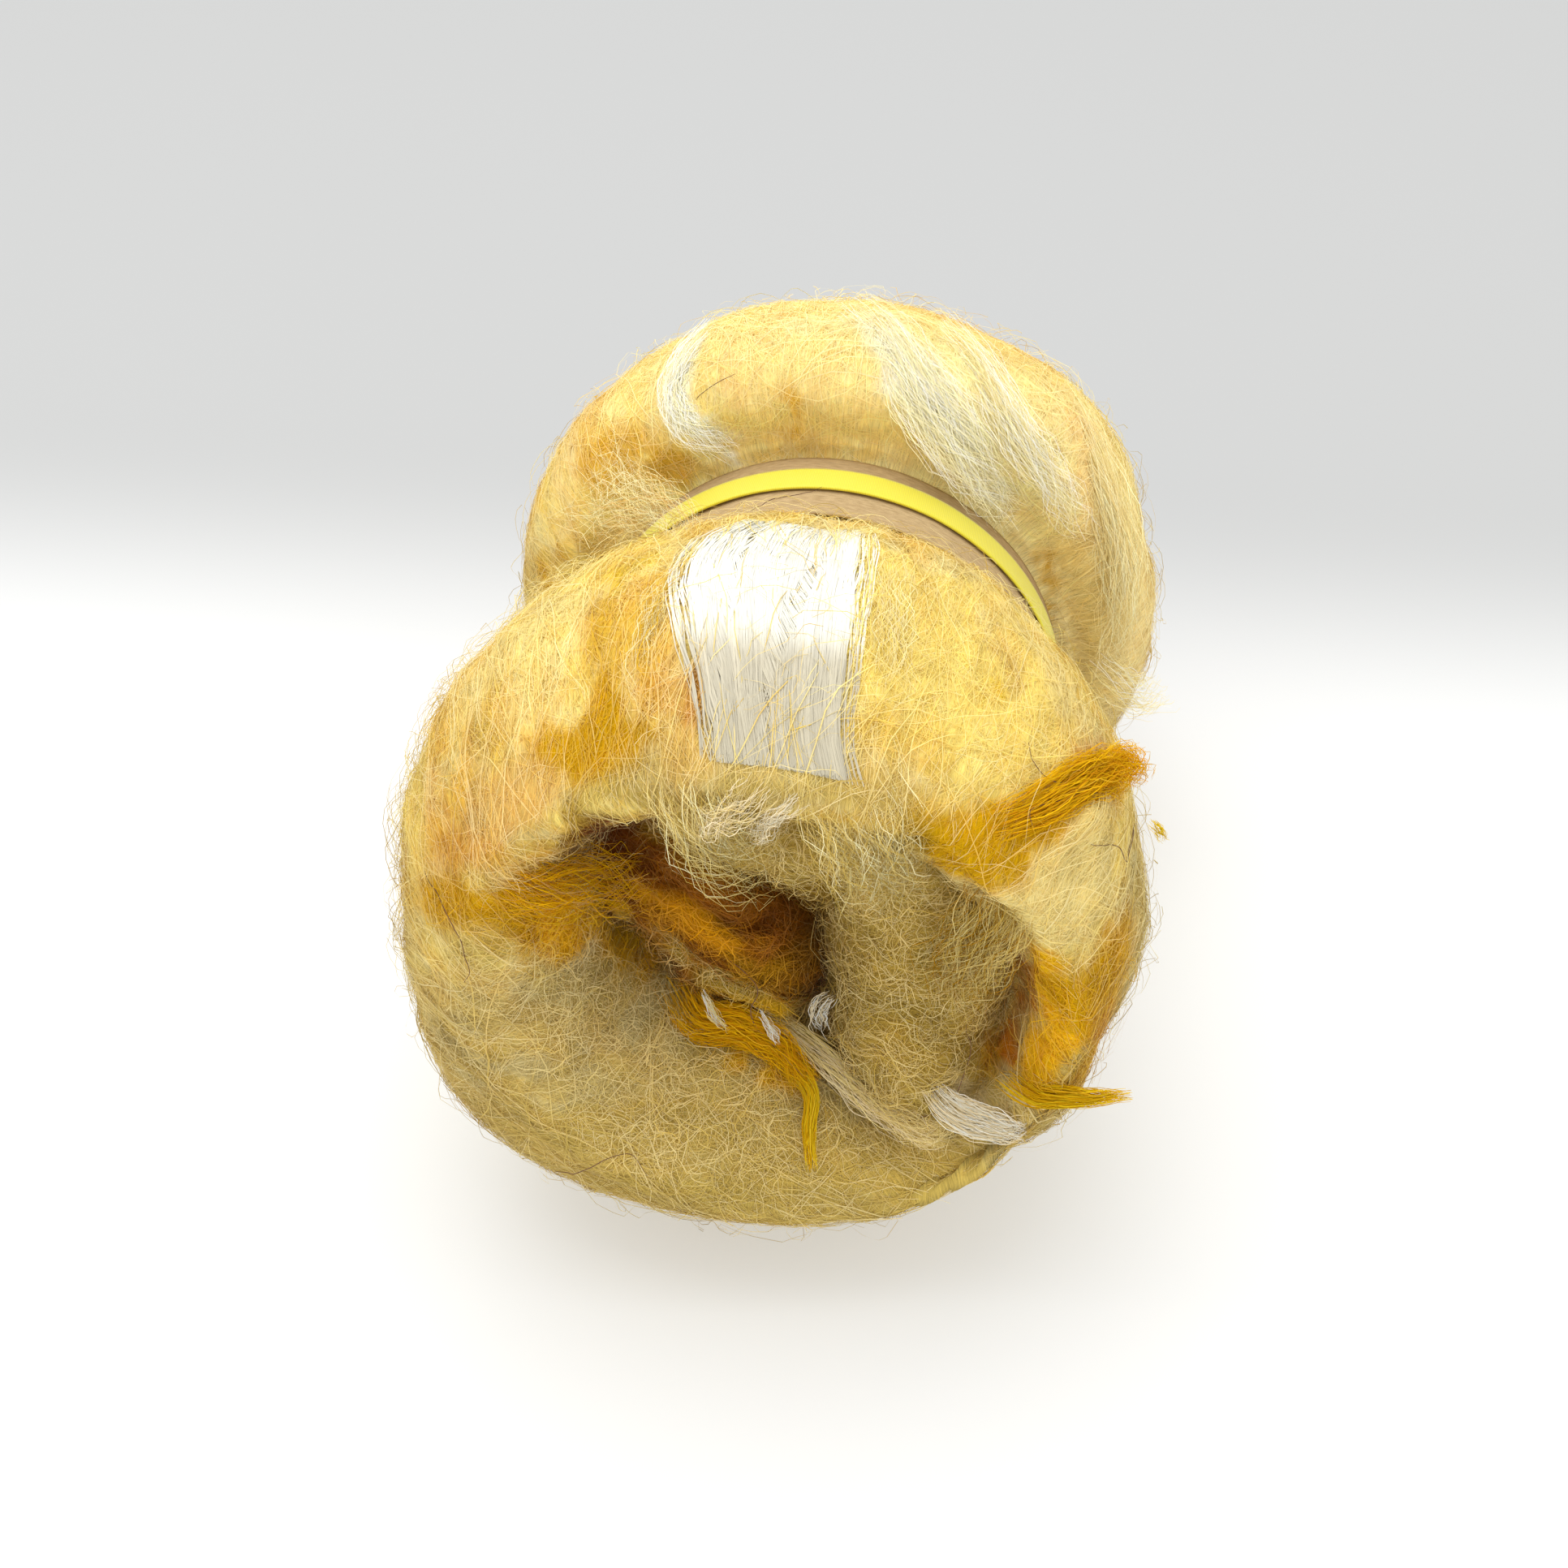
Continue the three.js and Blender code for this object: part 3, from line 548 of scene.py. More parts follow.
def new_piece(name, points, faces, material, colours=None, smooth=True):
    """A mesh piece from points in millimetres; faces is an array of equal rows of vertex numbers."""
    mesh = bpy.data.meshes.new(name)
    points = np.asarray(points, np.float32).reshape(-1, 3) * np.float32(MM)
    faces = np.asarray(faces, np.int32)
    mesh.vertices.add(len(points))
    mesh.vertices.foreach_set("co", points.ravel())
    mesh.loops.add(faces.size)
    mesh.loops.foreach_set("vertex_index", faces.ravel())
    mesh.polygons.add(len(faces))
    mesh.polygons.foreach_set("loop_start", np.arange(0, faces.size, faces.shape[1], dtype=np.int32))
    mesh.update(calc_edges=True)
    mesh.validate()
    if smooth:
        mesh.polygons.foreach_set("use_smooth", np.ones(len(mesh.polygons), bool))
    if colours is not None:
        layer = mesh.color_attributes.new("tint", "FLOAT_COLOR", "POINT")
        rgba = np.ones((len(points), 4), np.float32)
        rgba[:, :3] = np.clip(np.asarray(colours).reshape(-1, 3), 0, 1)
        layer.data.foreach_set("color", rgba.ravel())
    mesh.materials.append(material)
    piece = bpy.data.objects.new(name, mesh)
    bpy.context.scene.collection.objects.link(piece)
    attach(piece, "root")
    return piece


def lengths_down(points):
    """Length down each column of a grid, from its first row."""
    steps = np.linalg.norm(np.diff(points, axis=0), axis=-1)
    return np.concatenate([np.zeros((1, points.shape[1])), np.cumsum(steps, 0)])


def grid_faces(rows, columns):
    """Quads of a grid that closes on itself across its columns."""
    r, c = np.meshgrid(np.arange(rows - 1), np.arange(columns), indexing="ij")
    d = (c + 1) % columns
    quads = np.stack([r * columns + c, (r + 1) * columns + c, (r + 1) * columns + d, r * columns + d], -1)
    return quads.reshape(-1, 4)


def surface_normals(points):
    across = np.roll(points, -1, 1) - np.roll(points, 1, 1)
    along = np.gradient(points, axis=0)
    normal = np.cross(along, across)
    return normal / np.maximum(np.linalg.norm(normal, axis=-1, keepdims=True), 1e-9)


# The batt's surface piece.

# Points of each crease, its half width and depth. A point is a pixel of the photograph, or in millimetres.
CREASES = [
    ([(800, 1064), (825, 1090), (858, 1120), (900, 1140), (945, 1142)], 1.5, 2.0),
    ([(1130, 1040), (1160, 1062), (1200, 1100), (1230, 1132), (1250, 1158), (37, -80, 66)], 1.5, 1.4),
    ([(1262, 1180), (1258, 1230), (1245, 1284), (1242, 1314)], 1.4, 1.2),
    ([(770, 1120), (-17, -66, 53), (820, 1182), (850, 1193)], 1.3, 1.4),
    ([(4, -42, 106), (4, -56, 107), (2, -72, 105)], 1.2, 0.5),
]


def relief(points, normals, zones):
    """Matted lumps, combed furrows and creases, pushed in and out of the smooth surface."""
    height = 0.6 * noise(points, 9, 31) + 0.4 * noise(points, (3.5, 12, 3.5), 32)
    height = height + 0.2 * noise(points, 1.6, 33) - 0.7
    height += (zones > 0) * (1.0 * noise(points, 6, 34) + 0.5 * noise(points, 3, 35) + 0.5)
    for line, width, depth in CREASES:
        rows = np.array([placed(spot) for spot in line])
        nearest = np.full(points.shape[:2], 1e9)
        for first, last in zip(rows[:-1], rows[1:]):
            run = last - first
            u = np.clip((points - first) @ run / (run @ run), 0, 1)[..., None]
            nearest = np.minimum(nearest, np.linalg.norm(points - first - u * run, axis=-1))
        height = height - depth * np.exp(-((nearest / width) ** 2))
    waist = (np.abs(points[..., 1] - WAIST_Y) < 12) & (np.hypot(points[..., 0], points[..., 2] - WAIST_Z) < 42)
    height = np.where(waist, -0.2, height)
    moved = points + normals * height[..., None]
    moved[..., 2] = np.maximum(moved[..., 2], 0)
    return moved


# Fine grid that the fibres follow.
SMOOTH, FINE_ZONE, CREST_ROW = batt_rows(*FINE_GRID)
FINE_NORMAL = surface_normals(SMOOTH)
FINE = relief(SMOOTH, FINE_NORMAL, FINE_ZONE)
FINE_COLOUR = np.repeat(np.repeat(tint(SMOOTH[::2, ::2], FINE_ZONE[::2, ::2]), 2, 0), 2, 1)[:len(SMOOTH)]
ROWS, COLUMNS = FINE.shape[:2]
# Length along each meridian from the front crest.
MERIDIAN = lengths_down(SMOOTH)
MERIDIAN -= MERIDIAN[CREST_ROW]
ALONG = np.gradient(FINE, axis=0)
ACROSS = (np.roll(FINE, -1, 1) - np.roll(FINE, 1, 1)) / 2
REACH = np.hypot(FINE[..., 0], FINE[..., 2] - WAIST_Z)


# Mean length once round the batt, for its fibre pattern.
LENGTH_AROUND = 330.0


def make_core(material):
    points, zones, crest_row = batt_rows(*CORE_GRID)
    shaped = relief(points, surface_normals(points), zones)
    colours = tint(points, zones)
    rows, columns = shaped.shape[:2]
    middles = np.array([shaped[0].mean(0), shaped[-1].mean(0)])
    everything = np.concatenate([shaped.reshape(-1, 3), middles])
    tints = np.concatenate([colours.reshape(-1, 3), colours[0].mean(0)[None], colours[-1].mean(0)[None]])
    piece = new_piece("batt_surface", everything, grid_faces(rows, columns), material, tints)
    piece.data.flip_normals()
    # The two middles are closed with triangles.
    work = bmesh.new()
    work.from_mesh(piece.data)
    work.verts.ensure_lookup_table()
    count = rows * columns
    for i in range(columns):
        j = (i + 1) % columns
        for a, b, middle in ((i, j, count), (count - columns + j, count - columns + i, count + 1)):
            face = work.faces.new((work.verts[a], work.verts[b], work.verts[middle]))
            face.smooth = True
    bmesh.ops.recalc_face_normals(work, faces=work.faces)
    work.to_mesh(piece.data)
    work.free()
    # Lengths over the surface, in millimetres, for the fibre pattern.
    mesh = piece.data
    vertex = np.empty(len(mesh.loops), np.int32)
    mesh.loops.foreach_get("vertex_index", vertex)
    lengths = lengths_down(points)
    ring, spot = np.minimum(vertex // columns, rows - 1), vertex % columns
    start = np.empty(len(mesh.polygons), np.int32)
    mesh.polygons.foreach_get("loop_start", start)
    face_of = np.searchsorted(start, np.arange(len(vertex)), side="right") - 1
    low = np.minimum.reduceat(spot, start)[face_of]
    high = np.maximum.reduceat(spot, start)[face_of]
    spot = np.where((high - low > columns / 2) & (spot < columns / 2), spot + columns, spot)
    uv = mesh.uv_layers.new(name="lengths")
    across = spot * (LENGTH_AROUND / columns)
    uv.data.foreach_set("uv", np.stack([across, lengths[ring, spot % columns]], -1).astype(np.float32).ravel())
    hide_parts("batt")


# Loose fibres combed over the surface.

def sample(grid, row, column):
    """Values of a fine grid at fractional rows and columns."""
    row = np.clip(row, 0, ROWS - 1.001)
    r, c = np.floor(row).astype(int), np.floor(column).astype(int)
    fr, fc = (row - r)[:, None], (column - c)[:, None]
    c0, c1 = c % COLUMNS, (c + 1) % COLUMNS
    top = grid[r, c0] * (1 - fc) + grid[r, c1] * fc
    low = grid[r + 1, c0] * (1 - fc) + grid[r + 1, c1] * fc
    return top * (1 - fr) + low * fr


def unit(v):
    return v / np.maximum(np.linalg.norm(v, axis=-1, keepdims=True), 1e-9)


# zone, middle, radius, heading of the fibres, how far they stray from it in degrees
COMBING = [
    ("rim", (-10, -84, 36), 38, (1, 0, 0.05), 42),
    ("rim", (20, -82, 32), 22, (1, 0, 0.15), 45),
    ("rim", (-34, -84, 52), 14, (0.9, 0.1, 0.3), 35),
    ("rim", (30, -70, 96), 18, (0.4, 0.5, 0.2), 55),
    ("rim", (34, -80, 88), 12, (0.8, 0.4, 0.3), 22),
    ("rim", (46, -76, 76), 12, (0.9, 0.6, 0.1), 30),
    ("rim", (42, -80, 56), 12, (-0.2, -0.2, -1), 35),
    ("inner_right", (22, -78, 58), 60, (0.7, -0.2, -0.5), 60),
    ("inner_top", (0, -70, 76), 60, (1, 0, -0.2), 38),
    ("inner_roll", (-8, -70, 60), 60, (0.8, -0.1, -0.55), 30),
    ("lower_left", (-8, -70, 48), 60, (0.8, -0.1, -0.5), 30),
    ("floor", (0, -60, 60), 60, (0.5, 0, -0.5), 60),
    ("rim", (24, 30, 92), 22, (0.55, -0.75, -0.5), 20),
    ("rim", (-24, 30, 92), 14, (-0.2, -0.9, -0.4), 25),
]


def comb(rng, row, column, steps, length, lift, stray, curl, wave, follow=0.1, reverse=0.5):
    """Fibres that start at places of the fine grid and run over the surface: points, normals, root colours."""
    count = len(row)
    zone = FINE_ZONE[np.clip(row.round().astype(int), 0, ROWS - 1), column.round().astype(int) % COLUMNS]
    root = sample(FINE, row, column)
    heading = unit(sample(ALONG, row, column))
    spread = np.full(count, float(stray))
    for name, middle, radius, towards, degrees in COMBING:
        away = np.linalg.norm(root - np.array(middle, float), axis=1) / radius
        weight = ease((1.3 - away) / 0.6) * (zone == ZONES[name])
        heading = unit(heading * (1 - weight[:, None]) + np.array(towards, float) * weight[:, None])
        spread = spread * (1 - weight) + degrees * weight
    sign = np.where(rng.random(count) < reverse, -1.0, 1.0)[:, None]
    heading = heading * sign
    turn = np.radians(rng.normal(0, 1, count) * spread)
    bend = np.radians(rng.normal(0, 1, count) * curl)
    phase = rng.random(count) * 2 * np.pi
    pace = rng.uniform(0.8, 2.2, count)
    stride = length / steps
    tops = lift * rng.uniform(0.3, 1.0, count)
    lean = rng.uniform(0.2, 0.8, count)
    r, c = row.copy(), column.copy()
    places, ups, shades = [], [], []
    root_colour = sample(FINE_COLOUR, row, column)
    for k in range(steps + 1):
        t = k / steps
        point, normal = sample(FINE, r, c), unit(sample(FINE_NORMAL, r, c))
        heading = unit(heading - (heading * normal).sum(1, keepdims=True) * normal)
        angle = (turn if k == 0 else 0) + bend + np.radians(wave) * np.sin(phase + pace * k)
        side = np.cross(normal, heading)
        heading = heading * np.cos(angle)[:, None] + side * np.sin(angle)[:, None]
        hump = np.sin(np.pi * np.clip(t * (0.7 + lean), 0, 1)) * 0.8 + 0.2
        loose = ease((np.hypot(point[:, 0], point[:, 2] - WAIST_Z) - LIFT_RADIUS) / LIFT_FADE)
        loose = np.maximum(loose, ease((np.abs(point[:, 1] - WAIST_Y) - 26) / 8))
        place = point + normal * (0.12 + tops * hump * loose)[:, None]
        place[:, 2] = np.maximum(place[:, 2], 0.1)
        places.append(place)
        ups.append(normal)
        shades.append(0.3 * root_colour + 0.7 * sample(FINE_COLOUR, r, c))
        pu, pv = sample(ACROSS, r, c), sample(ALONG, r, c)
        uu, vv, uv = (pu * pu).sum(1), (pv * pv).sum(1), (pu * pv).sum(1)
        hu, hv = (pu * heading).sum(1), (pv * heading).sum(1)
        det = np.maximum(uu * vv - uv * uv, 1e-9)
        c = c + np.clip((hu * vv - hv * uv) / det * stride, -40, 40)
        r = np.clip(r + np.clip((hv * uu - hu * uv) / det * stride, -12, 12), 2, ROWS - 3)
        if follow:
            home = unit(sample(ALONG, r, c)) * sign
            heading = unit(heading * (1 - follow) + home * follow)
    return np.stack(places, 1), np.stack(ups, 1), np.stack(shades, 1)


def strips(rng, points, normals, width, roll, tip=0.25):
    """Flat tapering strips along fibres: vertices and quads. roll is how far they lean over, in degrees."""
    count, steps = points.shape[0], points.shape[1] - 1
    run = unit(np.gradient(points, axis=1))
    side = unit(np.cross(run, normals))
    up = np.cross(side, run)
    lean = np.radians(rng.uniform(-roll, roll, count))[:, None, None]
    side = side * np.cos(lean) + up * np.sin(lean)
    t = np.linspace(0, 1, steps + 1)
    taper = tip + (1 - tip) * np.sin(np.pi * np.clip(t * 0.9 + 0.08, 0, 1)) ** 0.7
    half = (np.asarray(width).reshape(-1, 1) / 2) * taper[None]
    verts = np.stack([points - side * half[..., None], points + side * half[..., None]], 2)
    base = (np.arange(count) * (steps + 1) * 2)[:, None] + np.arange(steps)[None] * 2
    quads = np.stack([base, base + 1, base + 3, base + 2], -1).reshape(-1, 4)
    return verts, quads


def fibre_piece(name, rng, points, normals, colour, width, roll, material, tip=0.25):
    verts, quads = strips(rng, points, normals, width, roll, tip)
    if colour.ndim == 2:
        colour = np.repeat(colour[:, None], verts.shape[1], 1)
    shades = np.repeat(colour, 2, 1)
    piece = new_piece(name, verts, quads, material, shades)
    piece.data.normals_split_custom_set_from_vertices(np.repeat(unit(normals), 2, 1).reshape(-1, 3).tolist())
    return piece


def roots(rng, count, keep):
    """Places spread by area over the fine grid, as close together as keep says there."""
    area = np.linalg.norm(np.cross(ALONG, ACROSS), axis=-1) * keep
    total = np.cumsum(area.ravel())
    chosen = np.searchsorted(total, rng.random(count) * total[-1])
    return chosen // COLUMNS + rng.uniform(-0.5, 0.5, count), chosen % COLUMNS + rng.uniform(-0.5, 0.5, count)


def uneven(rng, colour, spread=0.1, white=0.08):
    """Each fibre a little lighter or darker, and some paler."""
    shape = (len(colour),) + (1,) * (colour.ndim - 1)
    out = colour * (1 + rng.uniform(-spread, spread, shape))
    pale = (rng.random(shape) < white) * rng.uniform(0.3, 1.0, shape)
    # Fibres of the strong golds and browns hardly pale.
    pale = pale * np.clip(out[..., 2:] / np.maximum(out[..., :1], 0.01) * 8, 0.1, 1)
    brighter = out * 0.5 + np.array([0.53, 0.47, 0.28])
    return np.clip(out + (brighter - out) * pale, 0, 1)


def make_fibres(wool):
    rng = np.random.default_rng(SEED)
    y = FINE[..., 1]
    waist = (y > 1.5) & (y < 24.5) & (REACH < 42.5)
    open_face = ~waist & (FINE[..., 2] > 0.5)
    row_number = np.arange(ROWS)[:, None] + np.zeros(COLUMNS, int)
    inner = open_face & (row_number < CREST_ROW - 30)
    front = open_face & ~inner & (y < 10)
    back = open_face & (y >= 10)

    # Fibres lie closer together on the sides that the photograph shows.
    seen = 0.45 + 0.55 * ease((FINE_NORMAL @ np.array([0.05, -0.55, 0.83]) + 0.45) / 0.5)
    for name, keep, count, length, lift in (
        ("wool_front_a", front * seen, 8000, 13, 0.45),
        ("wool_front_b", front * seen, 8000, 9, 0.3),
        ("wool_back_a", back * seen, 6000, 14, 0.45),
        ("wool_back_b", back * seen, 5500, 9, 0.3),
        ("wool_folds", inner, 6500, 9, 0.6),
    ):
        row, column = roots(rng, count, keep)
        size = length * rng.uniform(0.6, 1.5, count)
        points, normals, colour = comb(rng, row, column, 6, size, lift, 34, 9, 22)
        width = 0.08 + 0.07 * rng.random(count) ** 3
        fibre_piece(name, rng, points, normals, uneven(rng, colour, 0.12, 0.32), width, 40, wool)

    # Curly pale fuzz over the inner folds.
    row, column = roots(rng, 4200, inner)
    size = rng.uniform(4, 12, 4200)
    points, normals, colour = comb(rng, row, column, 7, size, 2.2, 70, 18, 36, follow=0)
    # The fuzz is drawn 15% lighter than the fold under it: painted light on fibres that stand out of the hollow's
    # shade.
    shades = uneven(rng, colour * 1.15, 0.12, 0.85)
    fibre_piece("fold_fuzz", rng, points, normals, shades, rng.uniform(0.07, 0.13, 4200), 60, wool)

    # Long combed fibres that carry their root's colour across the streaks.
    for name, keep, count in (("combed_front", front * seen, 3000), ("combed_back", back * seen, 2300)):
        row, column = roots(rng, count, keep)
        size = rng.uniform(20, 48, count)
        points, normals, colour = comb(rng, row, column, 10, size, 1.0, 13, 2.5, 7, follow=0.2)
        width = 0.08 + 0.09 * rng.random(count) ** 2
        fibre_piece(name, rng, points, normals, uneven(rng, colour, 0.12, 0.45), width, 40, wool)

    # Frizz that stands off the surface, most on the near lobe's left shoulder.
    left = 1 + 2.5 * ease((-20 - FINE[..., 0]) / 20) * (y < 0) * (FINE[..., 2] > 50)
    row, column = roots(rng, 3000, open_face * seen * left)
    size = rng.uniform(6, 20, 3000)
    points, normals, colour = comb(rng, row, column, 7, size, 3.2, 80, 16, 32, follow=0)
    shades = uneven(rng, colour, 0.1, 0.7)
    fibre_piece("frizz", rng, points, normals, shades, rng.uniform(0.06, 0.1, 3000), 80, wool)


# Locks and wisps that the photograph shows.

# Most of them face the end of the roll and upward.
FACING = np.array([0.1, -0.8, 0.6])
# path of x, y, z, width and thickness; fibres; their width; colours; how far each strays
WISPS = [
    ([(30, -83, 88.5, 5, 1), (38, -77, 89, 6, 1.5), (44, -68, 87.6, 6, 2), (48, -61, 84.5, 7, 3),
      (51, -59, 82.5, 7, 2)], 300, 0.12, ("gold", "bright_gold", "gold", "orange"), 1.6),
    ([(46.5, -56, 84.5, 4, 3), (48.6, -57.5, 83, 7, 4), (50.6, -60, 80.5, 6, 3)],
     200, 0.12, ("gold", "bright_gold", "orange"), 1.8),
    ([(36, -78, 43.5, 6, 4), (40, -82, 43.5, 5, 3), (43, -84.5, 45.2, 3.5, 2.5), (47.8, -86, 46.8, 2.4, 2),
      (53.4, -86, 47.9, 1.4, 1.2)], 240, 0.14, ("gold", "gold", "lemon"), 0.4),
    # The flap's fibres, partly in a lighter gold: painted light where they lie in shade.
    ([(-14, -66, 46, 7, 4), (-9, -72, 43.5, 7, 4), (-3, -73.5, 44, 5, 3), (3, -74, 41, 4, 2.5),
      (8, -77, 36.5, 3, 2)], 380, 0.12, ("bright_gold", "gold", "gold", "orange"), 1.4),
    ([(5, -75, 38.5, 4, 2), (8, -77.5, 36, 2.6, 2), (8.3, -82, 32.5, 1.8, 1.4), (9.2, -86, 28.3, 1.4, 1)],
     140, 0.14, ("lemon", "gold"), 0.3),
    ([(53.2, -60, 75.8, 1, 0.8), (54.8, -60, 74, 1.6, 0.8), (55.8, -60, 72, 1, 0.6)], 40, 0.1, ("lemon",), 0.4),
    ([(-13, -42, 103, 4, 2), (-18, -24, 99, 6, 3), (-26, -12, 94.5, 9, 5), (-33, -3, 91, 14, 6),
      (-40, 5, 88, 20, 7)], 190, 0.07, ("pale", "cream", "pale", "tan"), 4.0),
    # cream fluff beside the silk
    ([(-10, -42, 105, 6, 2), (-12.5, -54, 106, 6, 2), (-14, -66, 104.5, 6, 2), (-13, -78, 100.5, 5, 2)],
     150, 0.09, ("pale", "cream", "pale", "light_gold"), 2.6),
    ([(15, -40, 104, 6, 2), (16, -52, 105, 6, 2), (17, -64, 104.5, 6, 2), (17, -76, 100.5, 5, 2)],
     110, 0.09, ("pale", "cream", "butter"), 2.6),
    # fibres that bridge the rim and the folds inside it
    ([(-6, -80, 98.5, 16, 2), (-4, -87, 93, 15, 3), (-1, -83, 84, 14, 5), (3, -74, 76, 12, 5)],
     260, 0.1, ("cream", "khaki", "pale", "olive_cream"), 3.0),
    ([(12, -80, 98, 16, 2), (16, -86.5, 91, 15, 3), (18, -85, 82, 13, 5), (20, -80, 73, 11, 5)],
     260, 0.1, ("cream", "khaki", "pale", "olive_cream"), 3.0),
    ([(35, -79, 84, 11, 2), (33, -84, 75, 11, 3), (29, -83, 66, 11, 4), (25, -80, 57, 9, 4)],
     240, 0.1, ("olive_cream", "khaki", "cream", "deep_gold"), 2.8),
    ([(-36, -82, 80, 10, 2), (-29, -85, 77, 10, 3), (-22, -77, 71, 9, 4), (-15, -71, 66, 7, 3)],
     240, 0.1, ("gold", "bright_gold", "orange", "tan"), 2.6),
    ([(-23.2, -71, 69.5, 1, 1), (-20.4, -71, 70.1, 1, 1), (-19.4, -71, 67.4, 1, 1), (-20.8, -71, 65.2, 1, 1),
      (-23.2, -71, 65.6, 1, 1), (-24, -71, 68, 1, 1), (-22.4, -71, 69.9, 1, 1)], 9, 0.08, ("tan", "orange"), 0.5),
]
SILK_WISPS = [
    ([(24, -78, 41, 3, 2), (28, -80.5, 38.2, 5, 2), (32, -81.5, 36.7, 5.5, 2), (36.5, -82.5, 36.4, 4, 2),
      (39.5, -83, 36.8, 3, 1.5)], 220, 0.12, ("silk_shade", "silk"), 0.7),
    ([(-2, -72, 47, 3, 2), (4, -70, 41.5, 3, 2), (11, -73, 37.5, 3.5, 2), (17, -77, 34.8, 4, 2),
      (24, -80.5, 33, 3.5, 2), (28.5, -81, 33.5, 2, 1.5)], 150, 0.1, ("silk_shade", "cream", "beige"), 1.6),
    ([(-8, -75, 51.5, 1, 1), (-6.5, -75, 47.5, 1.8, 1.4), (-4, -74.5, 43, 1, 1)],
     26, 0.12, ("silk", "cream"), 0.35),
    ([(0.2, -75.5, 49, 1.4, 1.4), (2, -75, 45, 1.8, 1.4), (3.4, -74.5, 41.5, 1, 1)],
     26, 0.12, ("silk", "silk_shade"), 0.35),
    ([(11, -74, 52, 2, 2), (8.6, -72.5, 47.5, 3, 2), (9, -72, 42, 2, 2)], 40, 0.12, ("silk", "silk_shade"), 0.6),
    ([(3, -87, 97, 6, 1.5), (0, -88.5, 93.5, 5, 1.5), (-4, -89, 91, 4, 1), (-6, -88, 89.5, 3, 1)],
     60, 0.09, ("silk_shade", "beige"), 1.8),
    # A lock at the lip, partly in greyer silk: painted shade where it turns down.
    ([(8, -87.5, 95.5, 4, 1.5), (4, -89, 92, 3, 1.5), (1, -88.8, 88.5, 2, 1)],
     50, 0.09, ("silk_shade", "shaded_silk"), 1.2),
    ([(-21, 41, 100.5, 4, 1), (-24.5, 32, 98.5, 5, 1), (-26, 26, 94.5, 5, 1), (-23, 22.5, 90.5, 5, 1),
      (-15, 22.5, 86, 4, 1)], 260, 0.09, ("silk", "silk", "pale"), 1.8),
    ([(0, 44, 104.5, 8, 1), (8, 33, 103.6, 10, 1), (14, 25, 99.2, 11, 1), (20, 21.5, 92.5, 11, 1),
      (27, 21, 84.5, 9, 1), (33, 21.5, 77, 6, 1)], 340, 0.08, ("silk", "pale", "pale"), 3.0),
    ([(16, 44, 103, 5, 1), (24, 31, 100, 6, 1), (31, 23.5, 92, 6, 1), (38, 21.5, 83, 5, 1), (42, 21, 74, 4, 1)],
     200, 0.08, ("pale", "cream", "silk"), 2.6),
    ([(36, 44, 92, 6, 1), (43, 31, 86, 7, 1), (48.5, 24, 74, 7, 1), (50.5, 21.5, 60, 7, 1),
      (50.5, 20.5, 48, 6, 1)], 220, 0.08, ("cream", "pale", "beige"), 2.6),
    ([(46, 20, 52, 6, 3), (50.5, 21, 46.5, 8, 3), (55, 22, 43.8, 9, 2), (59, 24, 45, 8, 1)],
     90, 0.09, ("pale", "silk", "cream"), 1.5),
]
# Single dark hairs: paths of x, y, z.
HAIRS = [
    [(36, -68, 92.6), (37, -71, 91.6), (40, -72.5, 89.8), (45, -65, 86), (42, -73, 88), (37, -79, 89.6),
     (37.5, -80.5, 87.6)],
    [(45, -75, 81.6), (49, -68, 76.6), (50.5, -67, 73.4), (51.5, -59, 74.5), (50.2, -68, 72)],
    [(30, -78, 51.5), (30.5, -77, 44.5), (28, -79.5, 37.5), (21, -78.5, 32.8), (17, -76.5, 33.5)],
    [(-7, -25, 101.6), (-5, -16, 98.6), (-2, -6, 94.5), (1, 0, 92.5)],
    [(-28, -88, 26.5), (-26, -89.5, 28), (-24, -90, 28.6), (-17, -88.5, 31.5), (-14, -89, 27.5)],
    [(-48, -74, 71.5), (-44, -81, 71.5), (-40.5, -87, 71), (-38, -88, 63.5), (-39, -87.6, 60)],
    [(-4, -73.5, 56), (0, -74, 52), (-1, -73.5, 46.5), (2, -74.5, 42), (7, -77, 38.5)],
    [(-16, 25, 99), (-20, 24, 97), (-24, 25.5, 92)],
]


def along_path(path, t):
    """A smooth curve through the rows of path, at t from 0 to 1."""
    rows = np.array(path, float)
    rows = np.concatenate([[2 * rows[0] - rows[1]], rows, [2 * rows[-1] - rows[-2]]])
    place = np.clip(t, 0, 0.99999) * (len(rows) - 3)
    i = place.astype(int)
    return cubic(rows[i], rows[i + 1], rows[i + 2], rows[i + 3], (place - i)[..., None])


def wisp(rng, path, count, steps, names, stray):
    """Fibres that run together along one path and part towards its end."""
    start, end = rng.uniform(0, 0.45, count)[:, None], rng.uniform(0.62, 1.0, count)[:, None]
    t = start + (end - start) * np.linspace(0, 1, steps + 1)[None]
    rows = along_path(path, t)
    run = unit(np.gradient(rows[..., :3], axis=1))
    side = unit(np.cross(run, FACING))
    up = np.cross(side, run)
    a, q = rng.random(count)[:, None] * 2 * np.pi, np.sqrt(rng.random(count))[:, None]
    across, rise = np.cos(a) * q * rows[..., 3] / 2, np.sin(a) * q * rows[..., 4] / 2
    for wave in (1.5, 3.7, 8.0):
        phase = rng.random((2, count, 1)) * 2 * np.pi
        across = across + stray * (0.2 + t) / wave * np.sin(phase[0] + wave * 2 * t * np.pi)
        rise = rise + 0.5 * stray * (0.2 + t) / wave * np.sin(phase[1] + wave * 2 * t * np.pi)
    points = rows[..., :3] + side * across[..., None] + up * rise[..., None]
    points[..., 2] = np.maximum(points[..., 2], 0.2)
    shades = np.array([PALETTE[name] for name in names])[rng.integers(0, len(names), count)]
    normals = np.broadcast_to(unit(FACING), points.shape) * 0.45 + up * 0.15 + np.array([0, 0, 0.55])
    return points, unit(normals), shades


